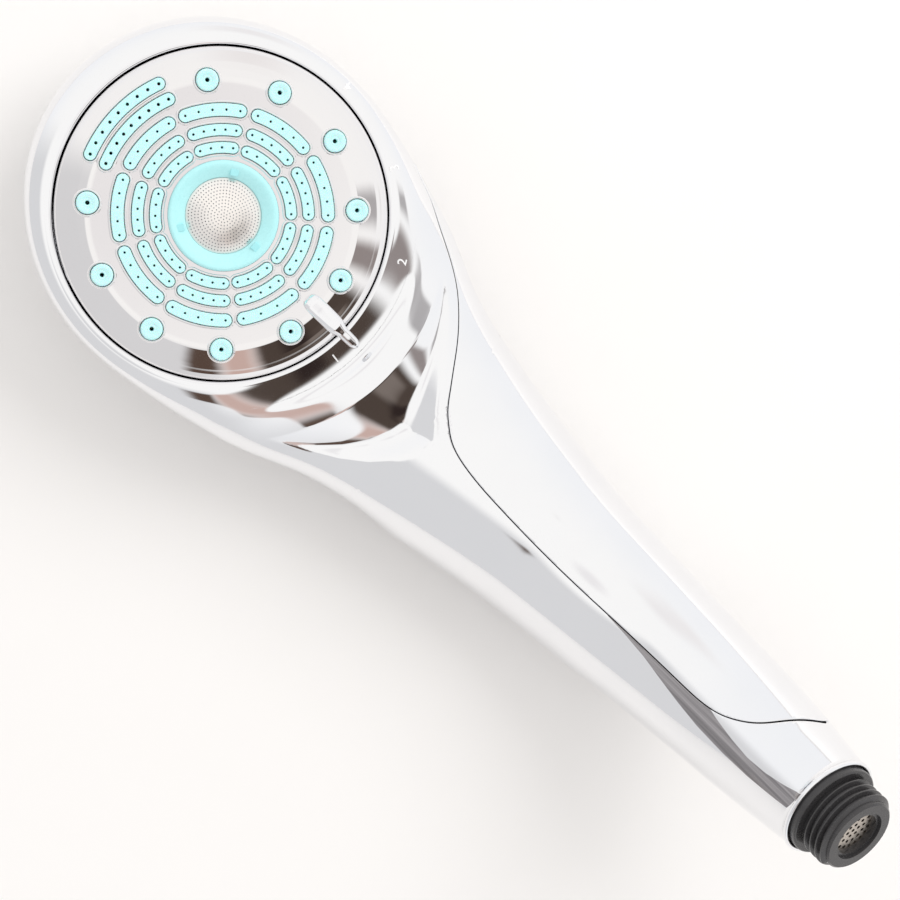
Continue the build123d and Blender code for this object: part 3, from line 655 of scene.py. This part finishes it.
PLATE_BACK, PLATE_RADIUS = -3.2, 37.3
PLATE_PROFILE = np.array([
    (0.0, 0.0), (29.3, 0.0), (29.9, -0.03), (30.5, -0.14), (32.4, -0.66), (34.0, -1.12), (34.7, -1.36),
    (35.3, -1.6), (36.0, -1.86), (36.5, -2.1), (36.9, -2.4), (37.15, -2.75), (37.3, -3.2),
])
# Rings of pads: radius, pad width, holes in a pad, degrees between holes.
PAD_RINGS = [(15.1, 2.4, 4, 9.35), (19.0, 2.5, 5, 7.25), (23.4, 2.8, 5, 7.55)]
ARC_PADS = [(28.1, 2.7, 9, 5.15), (32.0, 2.7, 9, 4.93)]
PADS_PER_RING, FIRST_PAD = 9, 20.0
# One pad of the outermost ring has fewer holes: holes, degrees between them.
SHORT_ROW = (4, 10.0)
JET_PITCH, JET_FIRST, JET_STEP, JET_RADIUS = 30.0, 15.65, 31.3, 2.5
CENTRE_HOLE = 12.42


def plate_height(r):
    return np.interp(r, PLATE_PROFILE[:, 0], PLATE_PROFILE[:, 1])


def on_face(radius, angle):
    """Face point at an angle from the handle's direction, clockwise as seen: x and reach."""
    turn = np.radians(angle)
    return np.stack([-radius * np.sin(turn), radius * np.cos(turn)], -1)


def pad_rows():
    """Every pad: ring radius, width, hole angles, hole radius."""
    rows = []
    for ring, (radius, width, count, step) in enumerate(PAD_RINGS):
        for pad in range(PADS_PER_RING):
            middle = FIRST_PAD + pad * 360.0 / PADS_PER_RING
            holes, gap = SHORT_ROW if ring == 2 and pad == 0 else (count, step)
            rows.append((radius, width, [middle + (i - (holes - 1) / 2) * gap for i in range(holes)], 0.27))
    for radius, width, count, step in ARC_PADS:
        rows.append((radius, width, [180.0 + (i - (count - 1) / 2) * step for i in range(count)], 0.36))
    return rows


def jet_places():
    return [on_face(JET_PITCH, sign * (JET_FIRST + i * JET_STEP)) for i in range(5) for sign in (1, -1)]


def slot_outline(radius, width, start, end, grow=0.0):
    """Closed outline of an arc-shaped slot with round ends, in x and reach."""
    half = width / 2 + grow
    sweep = max(6, int((end - start) * radius / 30))
    outer = on_face(radius + half, np.linspace(start, end, sweep))
    inner = on_face(radius - half, np.linspace(end, start, sweep))
    caps = []
    for angle, sign in ((end, 1), (start, -1)):
        middle, turn = on_face(radius, angle), math.radians(angle)
        out = np.array([-math.sin(turn), math.cos(turn)])
        along = np.array([-math.cos(turn), -math.sin(turn)]) * sign
        t = np.linspace(0, math.pi, 13)[1:-1]
        caps.append(middle + half * (out * sign * np.cos(t)[:, None] + along * np.sin(t)[:, None]))
    return np.vstack([outer, caps[0], inner, caps[1]])


def circle_outline(middle, radius, count=40):
    t = np.linspace(0, 2 * math.pi, count, endpoint=False)
    return np.asarray(middle) + radius * np.stack([np.cos(t), np.sin(t)], -1)


def outline_normals(outline):
    ahead, behind = np.roll(outline, -1, 0), np.roll(outline, 1, 0)
    along = ahead - behind
    n = np.stack([along[:, 1], -along[:, 0]], -1)
    n /= np.linalg.norm(n, axis=1, keepdims=True)
    area = np.sum(outline[:, 0] * np.roll(outline[:, 1], -1) - np.roll(outline[:, 0], -1) * outline[:, 1])
    return n if area > 0 else -n


def ribbon(name, outline, section):
    """Strip swept round an outline; section steps are (outward, height above the plate)."""
    n = outline_normals(outline)
    rows = []
    for out, height in section:
        xy = outline + n * out
        rows.append(np.column_stack([xy, plate_height(np.hypot(xy[:, 0], xy[:, 1])) + height]))
    rows = np.array(rows)
    faces = grid_faces(len(rows), len(outline))
    obj = mesh_object(name, place(rows), faces)
    return weld(obj, FINE_WELD)


def slot_distance(x, reach, radius, width, start, end):
    """Distance outside an arc-shaped slot, negative inside it."""
    r = np.hypot(x, reach)
    angle = np.degrees(np.arctan2(-x, reach))
    middle = (start + end) / 2
    angle = middle + (angle - middle + 180.0) % 360.0 - 180.0
    near = on_face(radius, np.clip(angle, start, end))
    return np.hypot(x - near[..., 0], reach - near[..., 1]) - width / 2


# Raised lip round each opening: distance outward, height above the plate.
LIP_SECTION = [
    (0.62, -0.04), (0.5, 0.1), (0.36, 0.22), (0.24, 0.25),
    (0.12, 0.21), (0.05, 0.1), (0.02, -0.1), (0.02, -3.2),
]
PLATE_GAP = 0.14
# The plate's turned-down edge and its back: radius, height.
SKIRT_SECTION = [
    (PLATE_RADIUS, -3.2), (PLATE_RADIUS, -12.2), (37.1, -12.4), (35.6, -12.4), (35.4, -12.2),
    (35.4, PLATE_BACK), (CENTRE_HOLE, PLATE_BACK), (CENTRE_HOLE, 0.0),
]


def build_face_plate():
    bend = np.arange(29.3, PLATE_RADIUS, 0.16)
    radii = np.concatenate([np.arange(CENTRE_HOLE, 29.2, 0.4), bend, [PLATE_RADIUS]])
    count = 720
    turn = np.linspace(0, 2 * math.pi, count, endpoint=False)
    r, t = np.meshgrid(radii, turn, indexing="ij")
    x, reach = r * np.sin(t), r * np.cos(t)
    rows = pad_rows()
    side = np.full(x.shape, 1e9)
    for radius, width, angles, _ in rows:
        side = np.minimum(side, slot_distance(x, reach, radius, width + 0.3, angles[0], angles[-1]))
    for middle in jet_places():
        side = np.minimum(side, np.hypot(x - middle[0], reach - middle[1]) - JET_RADIUS - 0.15)
    points = np.stack([x, reach, plate_height(r)], -1).reshape(-1, 3)
    (kept,), faces, _ = clipped(points, grid_faces(len(radii), count), -side.reshape(-1))
    parts = [mesh_object("face_top", place(kept), faces)]
    weld(parts[0], FINE_WELD)
    parts.append(lathe("face_skirt", SKIRT_SECTION, 180, closed=False))
    for radius, width, angles, _ in rows:
        outline = slot_outline(radius, width, angles[0], angles[-1], PLATE_GAP)
        parts.append(ribbon("slot_lip", outline, LIP_SECTION))
    for middle in jet_places():
        parts.append(ribbon("jet_lip", circle_outline(middle, JET_RADIUS + PLATE_GAP), LIP_SECTION))
    return joined("spray_plate", parts)


def holed_slab(name, outline, holes, top, back, edge=0.14):
    """Flat slab with an outline and round holes, its upper edges rounded."""
    curve = bpy.data.curves.new(name, "CURVE")
    curve.dimensions = "2D"
    curve.fill_mode = "BOTH"
    curve.extrude = (top - back - edge) / 2 * MM
    curve.bevel_depth = edge * MM
    curve.bevel_resolution = 2
    curve.offset = -edge * MM
    for loop in [outline] + holes:
        spline = curve.splines.new("POLY")
        spline.points.add(len(loop) - 1)
        weight = np.full(len(loop), 1 / MM)
        flat = np.column_stack([loop[:, 0], -loop[:, 1], 0 * weight, weight]) * MM
        spline.points.foreach_set("co", flat.ravel())
        spline.use_cyclic_u = True
    obj = bpy.data.objects.new(name, curve)
    bpy.context.scene.collection.objects.link(obj)
    mesh = bpy.data.meshes.new_from_object(obj.evaluated_get(bpy.context.evaluated_depsgraph_get()))
    bpy.data.objects.remove(obj)
    middle = (top + back) / 2
    mesh.transform(Matrix.Translation(Vector(FACE) + Vector((0, 0, middle * MM))))
    mesh.update()
    solid = bpy.data.objects.new(name, mesh)
    bpy.context.scene.collection.objects.link(solid)
    flat = [abs(p.normal.z) < 0.995 for p in mesh.polygons]
    mesh.polygons.foreach_set("use_smooth", flat)
    return solid


def build_nozzle_mat():
    parts = []
    for radius, width, angles, hole in pad_rows():
        outline = slot_outline(radius, width, angles[0], angles[-1])
        holes = [circle_outline(on_face(radius, angle), hole, 14) for angle in angles]
        height = float(plate_height(radius)) + 0.32
        parts.append(holed_slab("pad", outline, holes, height, -4.4))
    parts.append(lathe("sheet", [(34.8, -3.4), (34.8, -4.4), (12.6, -4.4), (12.6, -3.4)], 180))
    return joined("silicone_pads", parts)


# One tip, and the ring round the dome: radius, height.
TIP_SECTION = [
    (0.48, -4.5), (0.48, 0.1), (0.56, 0.28), (0.72, 0.36), (0.95, 0.36), (1.02, 0.32), (1.08, 0.36),
    (1.7, 0.42), (2.05, 0.48), (2.3, 0.42), (2.44, 0.28), (2.5, 0.05), (2.5, -4.5),
]
BAND_SECTION = [
    (8.5, -1.2), (8.5, -0.72), (8.56, -0.58), (8.75, -0.46), (9.2, -0.25), (9.9, 0.1), (10.6, 0.42),
    (11.2, 0.62), (11.6, 0.68), (11.95, 0.62), (12.2, 0.45), (12.36, 0.2), (12.4, -0.1), (12.4, -3.0),
]


def build_jets():
    parts = []
    for middle in jet_places():
        matrix = Matrix.Translation(Vector(place((middle[0], middle[1], 0.0))))
        parts.append(lathe("jet", TIP_SECTION, 48, matrix))
    return joined("jet_tips", parts)


def build_mist_ring():
    return joined("mist_band_ring", [lathe("mist_band", BAND_SECTION, 160, closed=False)])


DOME_RADIUS, DOME_BASE, DOME_RISE = 8.45, -0.75, 2.45
DOME_HOLE_RINGS, DOME_HOLE_PITCH, DOME_HOLE_RADIUS = 11, 0.71, 0.13
WINDOW_RADIUS = 9.95
# A window's outline: outward, across.
WINDOW = [
    (0.75, 0.85), (0.85, 0.75), (0.85, -0.75), (0.75, -0.85),
    (-0.75, -0.85), (-0.85, -0.75), (-0.85, 0.75), (-0.75, 0.85),
]


def build_ring_windows():
    """Three small darker windows set in the mist ring."""
    parts = []
    for angle in (0.0, 120.0, 240.0):
        middle = on_face(WINDOW_RADIUS, angle)
        out = middle / WINDOW_RADIUS
        across = np.array([-out[1], out[0]])
        outline = np.array([middle + a * out + b * across for a, b in WINDOW])
        parts.append(holed_slab("window", outline, [], 0.42, -0.6, 0.08))
    return joined("ring_windows", parts)


def build_dome():
    """Perforated cap: rings of tiny holes cut in a fine grid."""
    ball = (DOME_RADIUS ** 2 + DOME_RISE ** 2) / (2 * DOME_RISE)
    holes = [(0.0, 0.0)]
    for ring in range(1, DOME_HOLE_RINGS + 1):
        radius = ring * DOME_HOLE_PITCH
        count = int(round(ring * 6.28))
        for k in range(count):
            angle = 2 * math.pi * (k + 0.35 * ring) / count
            holes.append((radius * math.cos(angle), radius * math.sin(angle)))
    radii, count = np.linspace(0.02, DOME_RADIUS, 150), 640
    turn = np.linspace(0, 2 * math.pi, count, endpoint=False)
    r, t = np.meshgrid(radii, turn, indexing="ij")
    x, y = r * np.sin(t), r * np.cos(t)
    side = np.full(x.shape, 1e9)
    for hx, hy in holes:
        side = np.minimum(side, np.hypot(x - hx, y - hy) - DOME_HOLE_RADIUS)
    z = DOME_BASE + DOME_RISE - ball + np.sqrt(ball * ball - r * r)
    points = np.stack([x, y, z], -1).reshape(-1, 3)
    (kept,), faces, _ = clipped(points, grid_faces(len(radii), count), -side.reshape(-1))
    return weld(mesh_object("mist_cap", place(kept), faces), FINE_WELD)


LEVER_AROUND = 44


def build_lever():
    """Thumb lever: a rounded chrome rib that narrows past the face's edge."""
    stations = [
        # reach, half width, top height, underside
        (26.0, 0.5, 0.4, -0.2), (26.25, 1.3, 1.1, -0.2), (26.8, 1.85, 1.75, -0.2), (27.8, 2.15, 2.15, -0.2),
        (30.0, 2.2, 2.4, -0.3), (34.0, 2.15, 2.4, -1.3), (35.6, 2.0, 2.3, -1.8), (36.6, 1.6, 2.05, -2.2),
        (37.4, 1.4, 1.8, -2.6), (39.5, 1.38, 1.45, -2.7), (41.0, 1.3, 1.15, -2.7), (41.8, 1.05, 0.85, -2.7),
        (42.3, 0.6, 0.4, -2.4), (42.45, 0.2, 0.0, -1.8),
    ]
    s = np.array(stations)
    at = np.linspace(0, len(s) - 1, 90)
    reach, half, top, under = [np.interp(at, range(len(s)), s[:, k]) for k in range(4)]
    turn = np.linspace(0, 2 * math.pi, LEVER_AROUND, endpoint=False)
    c, si = np.cos(turn), np.sin(turn)
    shape_x = np.sign(si) * np.abs(si) ** 0.55
    shape_z = np.sign(c) * np.abs(c) ** 0.75
    rows = []
    for a, w, t, u in zip(reach, half, top, under):
        height = (t + u) / 2 + (t - u) / 2 * shape_z
        rows.append(np.column_stack([w * shape_x, np.full(LEVER_AROUND, a), height]))
    rows = np.array(rows)
    verts = np.vstack([rows.reshape(-1, 3), rows[0].mean(0)[None], rows[-1].mean(0)[None]])
    faces = grid_faces(len(rows), LEVER_AROUND)
    last = (len(rows) - 1) * LEVER_AROUND
    start, end = last + LEVER_AROUND, last + LEVER_AROUND + 1
    for k in range(LEVER_AROUND):
        faces.append([start, k, (k + 1) % LEVER_AROUND])
        faces.append([end, last + (k + 1) % LEVER_AROUND, last + k])
    return weld(mesh_object("thumb_lever", place(verts), faces), FINE_WELD)


# ---- materials ----

def shader(name):
    material = bpy.data.materials.new(name)
    material.use_nodes = True
    tree = material.node_tree
    return material, tree, tree.nodes["Principled BSDF"]


def coordinates(tree, scale):
    """Object-space coordinates in units of the given size, in millimetres."""
    coord = tree.nodes.new("ShaderNodeTexCoord")
    mapping = tree.nodes.new("ShaderNodeMapping")
    mapping.inputs["Scale"].default_value = [1 / (s * MM) for s in scale]
    tree.links.new(coord.outputs["Object"], mapping.inputs["Vector"])
    return mapping.outputs["Vector"]


def noise(tree, scale, detail=3.0, rough=0.5):
    node = tree.nodes.new("ShaderNodeTexNoise")
    node.inputs["Scale"].default_value = 1.0
    node.inputs["Detail"].default_value = detail
    node.inputs["Roughness"].default_value = rough
    scale = scale if isinstance(scale, tuple) else (scale,) * 3
    tree.links.new(coordinates(tree, scale), node.inputs["Vector"])
    return node.outputs["Fac"]


def spread(tree, value, low, high, start=0.3, end=0.7):
    node = tree.nodes.new("ShaderNodeMapRange")
    tree.links.new(value, node.inputs["Value"])
    for key, number in (("From Min", start), ("From Max", end), ("To Min", low), ("To Max", high)):
        node.inputs[key].default_value = number
    return node.outputs["Result"]


def tint(tree, value, low, high):
    node = tree.nodes.new("ShaderNodeMix")
    node.data_type = "RGBA"
    node.inputs["A"].default_value = (*low, 1)
    node.inputs["B"].default_value = (*high, 1)
    tree.links.new(value, node.inputs["Factor"])
    return node.outputs["Result"]


def bump(tree, principled, value, height, strength=1.0):
    node = tree.nodes.new("ShaderNodeBump")
    node.inputs["Strength"].default_value = strength
    node.inputs["Distance"].default_value = height * MM
    tree.links.new(value, node.inputs["Height"])
    tree.links.new(node.outputs["Normal"], principled.inputs["Normal"])


def finish_material(name, low, high, metallic, rough, grain, lift, extra=(), tone_grain=None):
    """Procedural finish: colour between two tones, roughness range, and a fine bump."""
    material, tree, p = shader(name)
    tree.links.new(tint(tree, noise(tree, tone_grain or grain * 6), low, high), p.inputs["Base Color"])
    tree.links.new(spread(tree, noise(tree, grain * 3, 5.0), *rough), p.inputs["Roughness"])
    p.inputs["Metallic"].default_value = metallic
    if lift:
        bump(tree, p, noise(tree, grain), lift)
    for key, value in extra:
        p.inputs[key].default_value = value
    return material


# Each finish: darker and lighter tone, metallic, roughness range, grain and lift in millimetres.
TONES = {
    "chrome": ((0.86, 0.87, 0.89), (0.9, 0.905, 0.92), 1.0, (0.035, 0.07), 2.5, 0.0006),
    "plate_chrome": ((0.84, 0.83, 0.835), (0.87, 0.86, 0.865), 1.0, (0.03, 0.06), 2.5, 0.0006),
    "aqua_silicone": ((0.55, 0.91, 0.92), (0.6, 0.94, 0.94), 0.0, (0.34, 0.48), 0.35, 0.004),
    "aqua_plastic": ((0.46, 0.88, 0.9), (0.5, 0.9, 0.92), 0.0, (0.22, 0.34), 0.4, 0.002),
    "mist_steel": ((0.95, 0.91, 0.87), (0.99, 0.96, 0.93), 1.0, (0.3, 0.42), 0.5, 0.002),
    "black_plastic": ((0.03, 0.029, 0.031), (0.048, 0.046, 0.047), 0.0, (0.2, 0.3), 0.3, 0.003),
    "white_plastic": ((0.78, 0.78, 0.76), (0.84, 0.84, 0.82), 0.0, (0.35, 0.5), 0.4, 0.004),
    "grey_plastic": ((0.32, 0.33, 0.35), (0.4, 0.41, 0.43), 0.0, (0.38, 0.52), 0.4, 0.004),
    "spring_steel": ((0.5, 0.5, 0.5), (0.62, 0.61, 0.6), 1.0, (0.2, 0.34), 0.3, 0.002),
    "black_rubber": ((0.012, 0.012, 0.012), (0.022, 0.022, 0.022), 0.0, (0.55, 0.75), 0.25, 0.006),
    "mesh_steel": ((0.5, 0.45, 0.4), (0.66, 0.6, 0.53), 1.0, (0.25, 0.4), 0.3, 0.002),
    # The next finish is a dark chrome whose darkness is painted shade, with stretched streaks of painted
    # reflection, for the facet beside the seam.
    "painted_shade_chrome": ((0.02, 0.02, 0.024), (0.66, 0.63, 0.64), 1.0, (0.1, 0.2), 2.5, 0.0),
    "deep_aqua": ((0.36, 0.8, 0.84), (0.4, 0.83, 0.86), 0.0, (0.22, 0.34), 0.4, 0.002),
    "white_ink": ((0.86, 0.86, 0.86), (0.92, 0.92, 0.92), 0.0, (0.4, 0.55), 0.4, 0.0),
}
SOCKETS = {"aqua_silicone": (("Subsurface Weight", 0.15), ("Subsurface Scale", 0.001), ("IOR", 1.41))}
# Stretched tone grain for the dark chrome beside the seam: painted streaks of reflection.
PAINTED_REFLECTION_STREAKS = {"painted_shade_chrome": (0.65, 40.0, 40.0)}
FINISHES = {
    name: finish_material(name, *tones, SOCKETS.get(name, ()), PAINTED_REFLECTION_STREAKS.get(name))
    for name, tones in TONES.items()
}


def finish_of(obj, finish, body, replaced=()):
    """Gives a piece its finish and its body, and hides the nodes it stands for."""
    obj.data.materials.clear()
    obj.data.materials.append(FINISHES[finish])
    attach(obj, body)
    for node in replaced:
        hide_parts(node)


NODE_FINISH = {
    "main_shell": "chrome", "side_cover": "chrome",
    "face_plate": "plate_chrome", "selector_lever": "chrome",
    "nozzle_mat": "aqua_silicone", "jet_nozzles": "aqua_silicone", "mist_ring": "aqua_plastic",
    "mist_dome": "mist_steel", "inlet_fitting": "black_plastic", "strainer_ring": "black_plastic",
    "inlet_strainer": "mesh_steel", "mist_core": "grey_plastic", "spray_chamber": "grey_plastic",
    "diverter_plate": "white_plastic", "retaining_ring": "grey_plastic", "valve_body": "white_plastic",
    "port_seal_cup": "black_rubber", "port_seal_spring": "spring_steel", "post_o_ring": "black_rubber",
    "click_spring": "spring_steel", "pivot_screw": "spring_steel", "pivot_washer": "spring_steel",
    "housing_screws": "spring_steel", "water_tube": "white_plastic", "tube_o_ring_upper": "black_rubber",
    "tube_o_ring_lower": "black_rubber", "bubble_nozzle": "white_plastic", "fitting_clip": "white_plastic",
}
for node, finish in NODE_FINISH.items():
    data = NODES[node].data
    for k in range(max(1, len(data.materials))):
        if len(data.materials) <= k:
            data.materials.append(FINISHES[finish])
        data.materials[k] = FINISHES[finish]

main_skin, painted_shade_skin, cover_skin = build_shells()
finish_of(main_skin, "chrome", "handset", ["main_shell"])
finish_of(cover_skin, "chrome", "handset", ["side_cover"])
# The facet beside the seam gets the dark chrome: painted shade with streaks of painted reflection.
finish_of(painted_shade_skin, "painted_shade_chrome", "handset", ["main_shell"])
finish_of(build_numerals(), "white_ink", "handset")
finish_of(build_face_plate(), "plate_chrome", "dial", ["face_plate"])
finish_of(build_nozzle_mat(), "aqua_silicone", "dial", ["nozzle_mat"])
finish_of(build_jets(), "aqua_silicone", "dial", ["jet_nozzles"])
finish_of(build_mist_ring(), "aqua_plastic", "dial", ["mist_ring"])
finish_of(build_ring_windows(), "deep_aqua", "dial")
finish_of(build_dome(), "mist_steel", "dial", ["mist_dome"])
finish_of(build_lever(), "chrome", "dial", ["selector_lever"])


# ---- floor, light and camera ----

FLOOR_HALF_SIZE, KEY_POWER, ROOM_STRENGTH = 3.0, 6.5, 1.06


def build_floor():
    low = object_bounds()[0][2]
    size = FLOOR_HALF_SIZE
    corners = [(-size, -size, low), (size, -size, low), (size, size, low), (-size, size, low)]
    floor = mesh_object("floor", corners, [(0, 1, 2, 3)], smooth=False)
    material, tree, p = shader("floor_paper")
    tone = tint(tree, noise(tree, 40.0), (0.93, 0.915, 0.9), (0.95, 0.935, 0.92))
    tree.links.new(tone, p.inputs["Base Color"])
    p.inputs["Roughness"].default_value = 0.8
    floor.data.materials.append(material)


def area_light(name, spot, target, size, power, colour):
    """Rectangular light that chrome does not mirror."""
    data = bpy.data.lights.new(name, "AREA")
    data.shape = "RECTANGLE"
    data.size, data.size_y = size
    data.energy = power
    data.color = colour
    light = bpy.data.objects.new(name, data)
    bpy.context.scene.collection.objects.link(light)
    light.location = spot
    light.rotation_euler = (Vector(target) - Vector(spot)).to_track_quat("-Z", "Y").to_euler()
    light.visible_glossy = False


def world_math(tree, operation, *values):
    node = tree.nodes.new("ShaderNodeMath")
    node.operation = operation
    for socket, value in zip(node.inputs, values):
        if isinstance(value, (int, float)):
            socket.default_value = value
        else:
            tree.links.new(value, socket)
    return node.outputs[0]


def soft_step(tree, value, start, end):
    """Smooth 0 to 1 as the value goes from start to end; start may be the larger."""
    node = tree.nodes.new("ShaderNodeMapRange")
    node.interpolation_type = "SMOOTHSTEP"
    tree.links.new(value, node.inputs["Value"])
    low, high, first, last = (start, end, 0.0, 1.0) if start < end else (end, start, 1.0, 0.0)
    for key, number in (("From Min", low), ("From Max", high), ("To Min", first), ("To Max", last)):
        node.inputs[key].default_value = number
    return node.outputs["Result"]


def sky_patch(tree, azimuth, elevation, spot, under, colour):
    """Soft-edged patch of the room: spot is azimuth, half width, elevation, half height and softness."""
    middle, half_width, height, half_height, soft = spot
    away = world_math(tree, "SUBTRACT", azimuth, middle)
    away = world_math(tree, "WRAP", away, 180.0, -180.0)
    away = world_math(tree, "ABSOLUTE", away)
    across = soft_step(tree, away, half_width + soft, max(half_width - soft, 0.0))
    off = world_math(tree, "ABSOLUTE", world_math(tree, "SUBTRACT", elevation, height))
    up = soft_step(tree, off, half_height + soft / 2, max(half_height - soft / 2, 0.0))
    mask = world_math(tree, "MULTIPLY", across, up)
    node = tree.nodes.new("ShaderNodeMix")
    node.data_type = "RGBA"
    tree.links.new(mask, node.inputs["Factor"])
    tree.links.new(under, node.inputs["A"])
    node.inputs["B"].default_value = (*colour, 1)
    return node.outputs["Result"]


# What the room shows above the shower head, as azimuth from the handle's direction (positive to the face's
# left), half width, elevation, half height, softness, in degrees, then a colour.
ROOM = [
    ((100.0, 56.0, 24.0, 38.0, 10.0), (0.71, 0.705, 0.71)),
    ((-120.0, 12.0, 42.0, 12.0, 12.0), (0.9, 0.87, 0.86)),
    ((8.0, 22.0, 49.0, 11.0, 4.0), (0.075, 0.055, 0.045)),
    ((2.0, 9.0, 45.0, 4.0, 3.0), (0.2, 0.165, 0.145)),
    ((14.0, 5.0, 53.0, 5.0, 3.0), (0.03, 0.02, 0.018)),
    ((36.0, 6.0, 49.0, 10.0, 4.0), (0.6, 0.43, 0.38)),
    ((49.0, 6.0, 49.0, 9.0, 3.0), (0.1, 0.065, 0.05)),
    ((-26.0, 5.0, 48.0, 10.0, 3.0), (0.3, 0.26, 0.25)),
    ((-44.0, 6.0, 51.0, 8.0, 4.0), (0.45, 0.43, 0.43)),
    ((0.0, 180.0, 92.0, 8.0, 8.0), (0.88, 0.855, 0.85)),
]


def build_world():
    world = bpy.data.worlds.new("studio")
    bpy.context.scene.world = world
    world.use_nodes = True
    tree = world.node_tree
    background = tree.nodes["Background"]
    coord = tree.nodes.new("ShaderNodeTexCoord")
    split = tree.nodes.new("ShaderNodeSeparateXYZ")
    tree.links.new(coord.outputs["Generated"], split.inputs[0])
    x, y, z = split.outputs
    degrees = 180.0 / math.pi
    elevation = world_math(tree, "MULTIPLY", world_math(tree, "ARCSINE", z), degrees)
    toward = world_math(tree, "MULTIPLY", y, -1.0)
    left = world_math(tree, "MULTIPLY", x, -1.0)
    azimuth = world_math(tree, "MULTIPLY", world_math(tree, "ARCTAN2", left, toward), degrees)
    base = tree.nodes.new("ShaderNodeMix")
    base.data_type = "RGBA"
    tree.links.new(soft_step(tree, elevation, 0.0, 70.0), base.inputs["Factor"])
    base.inputs["A"].default_value = (0.94, 0.94, 0.95, 1)
    base.inputs["B"].default_value = (1.0, 0.985, 0.965, 1)
    colour = base.outputs["Result"]
    for spot, shade in ROOM:
        colour = sky_patch(tree, azimuth, elevation, spot, colour, shade)
    tree.links.new(colour, background.inputs["Color"])
    background.inputs["Strength"].default_value = ROOM_STRENGTH


def build_camera():
    spot = place((CAMERA_SIDE, CAMERA_REACH, CAMERA_HEIGHT))
    along = Vector((0, -math.cos(CAMERA_LEAN), math.sin(CAMERA_LEAN)))
    across = Vector((1, 0, 0))
    back = Vector((0, math.sin(CAMERA_LEAN), math.cos(CAMERA_LEAN)))
    c, s = math.cos(CAMERA_ROLL), math.sin(CAMERA_ROLL)
    right = along * s + across * c
    up = across * s - along * c
    data = bpy.data.cameras.new("camera")
    data.lens, data.sensor_width = CAMERA_LENS, CAMERA_SENSOR
    data.clip_start, data.clip_end = 0.01, 20
    camera = bpy.data.objects.new("camera", data)
    bpy.context.scene.collection.objects.link(camera)
    camera.matrix_world = Matrix((right, up, back)).transposed().to_4x4()
    camera.matrix_world.translation = Vector(spot)
    bpy.context.scene.camera = camera


build_floor()
area_light("key", FACE + (1.0, -0.1, 0.95), FACE, (0.8, 0.8), KEY_POWER, (1.0, 0.99, 0.98))
build_world()
build_camera()
bpy.context.scene.view_settings.view_transform = "Standard"
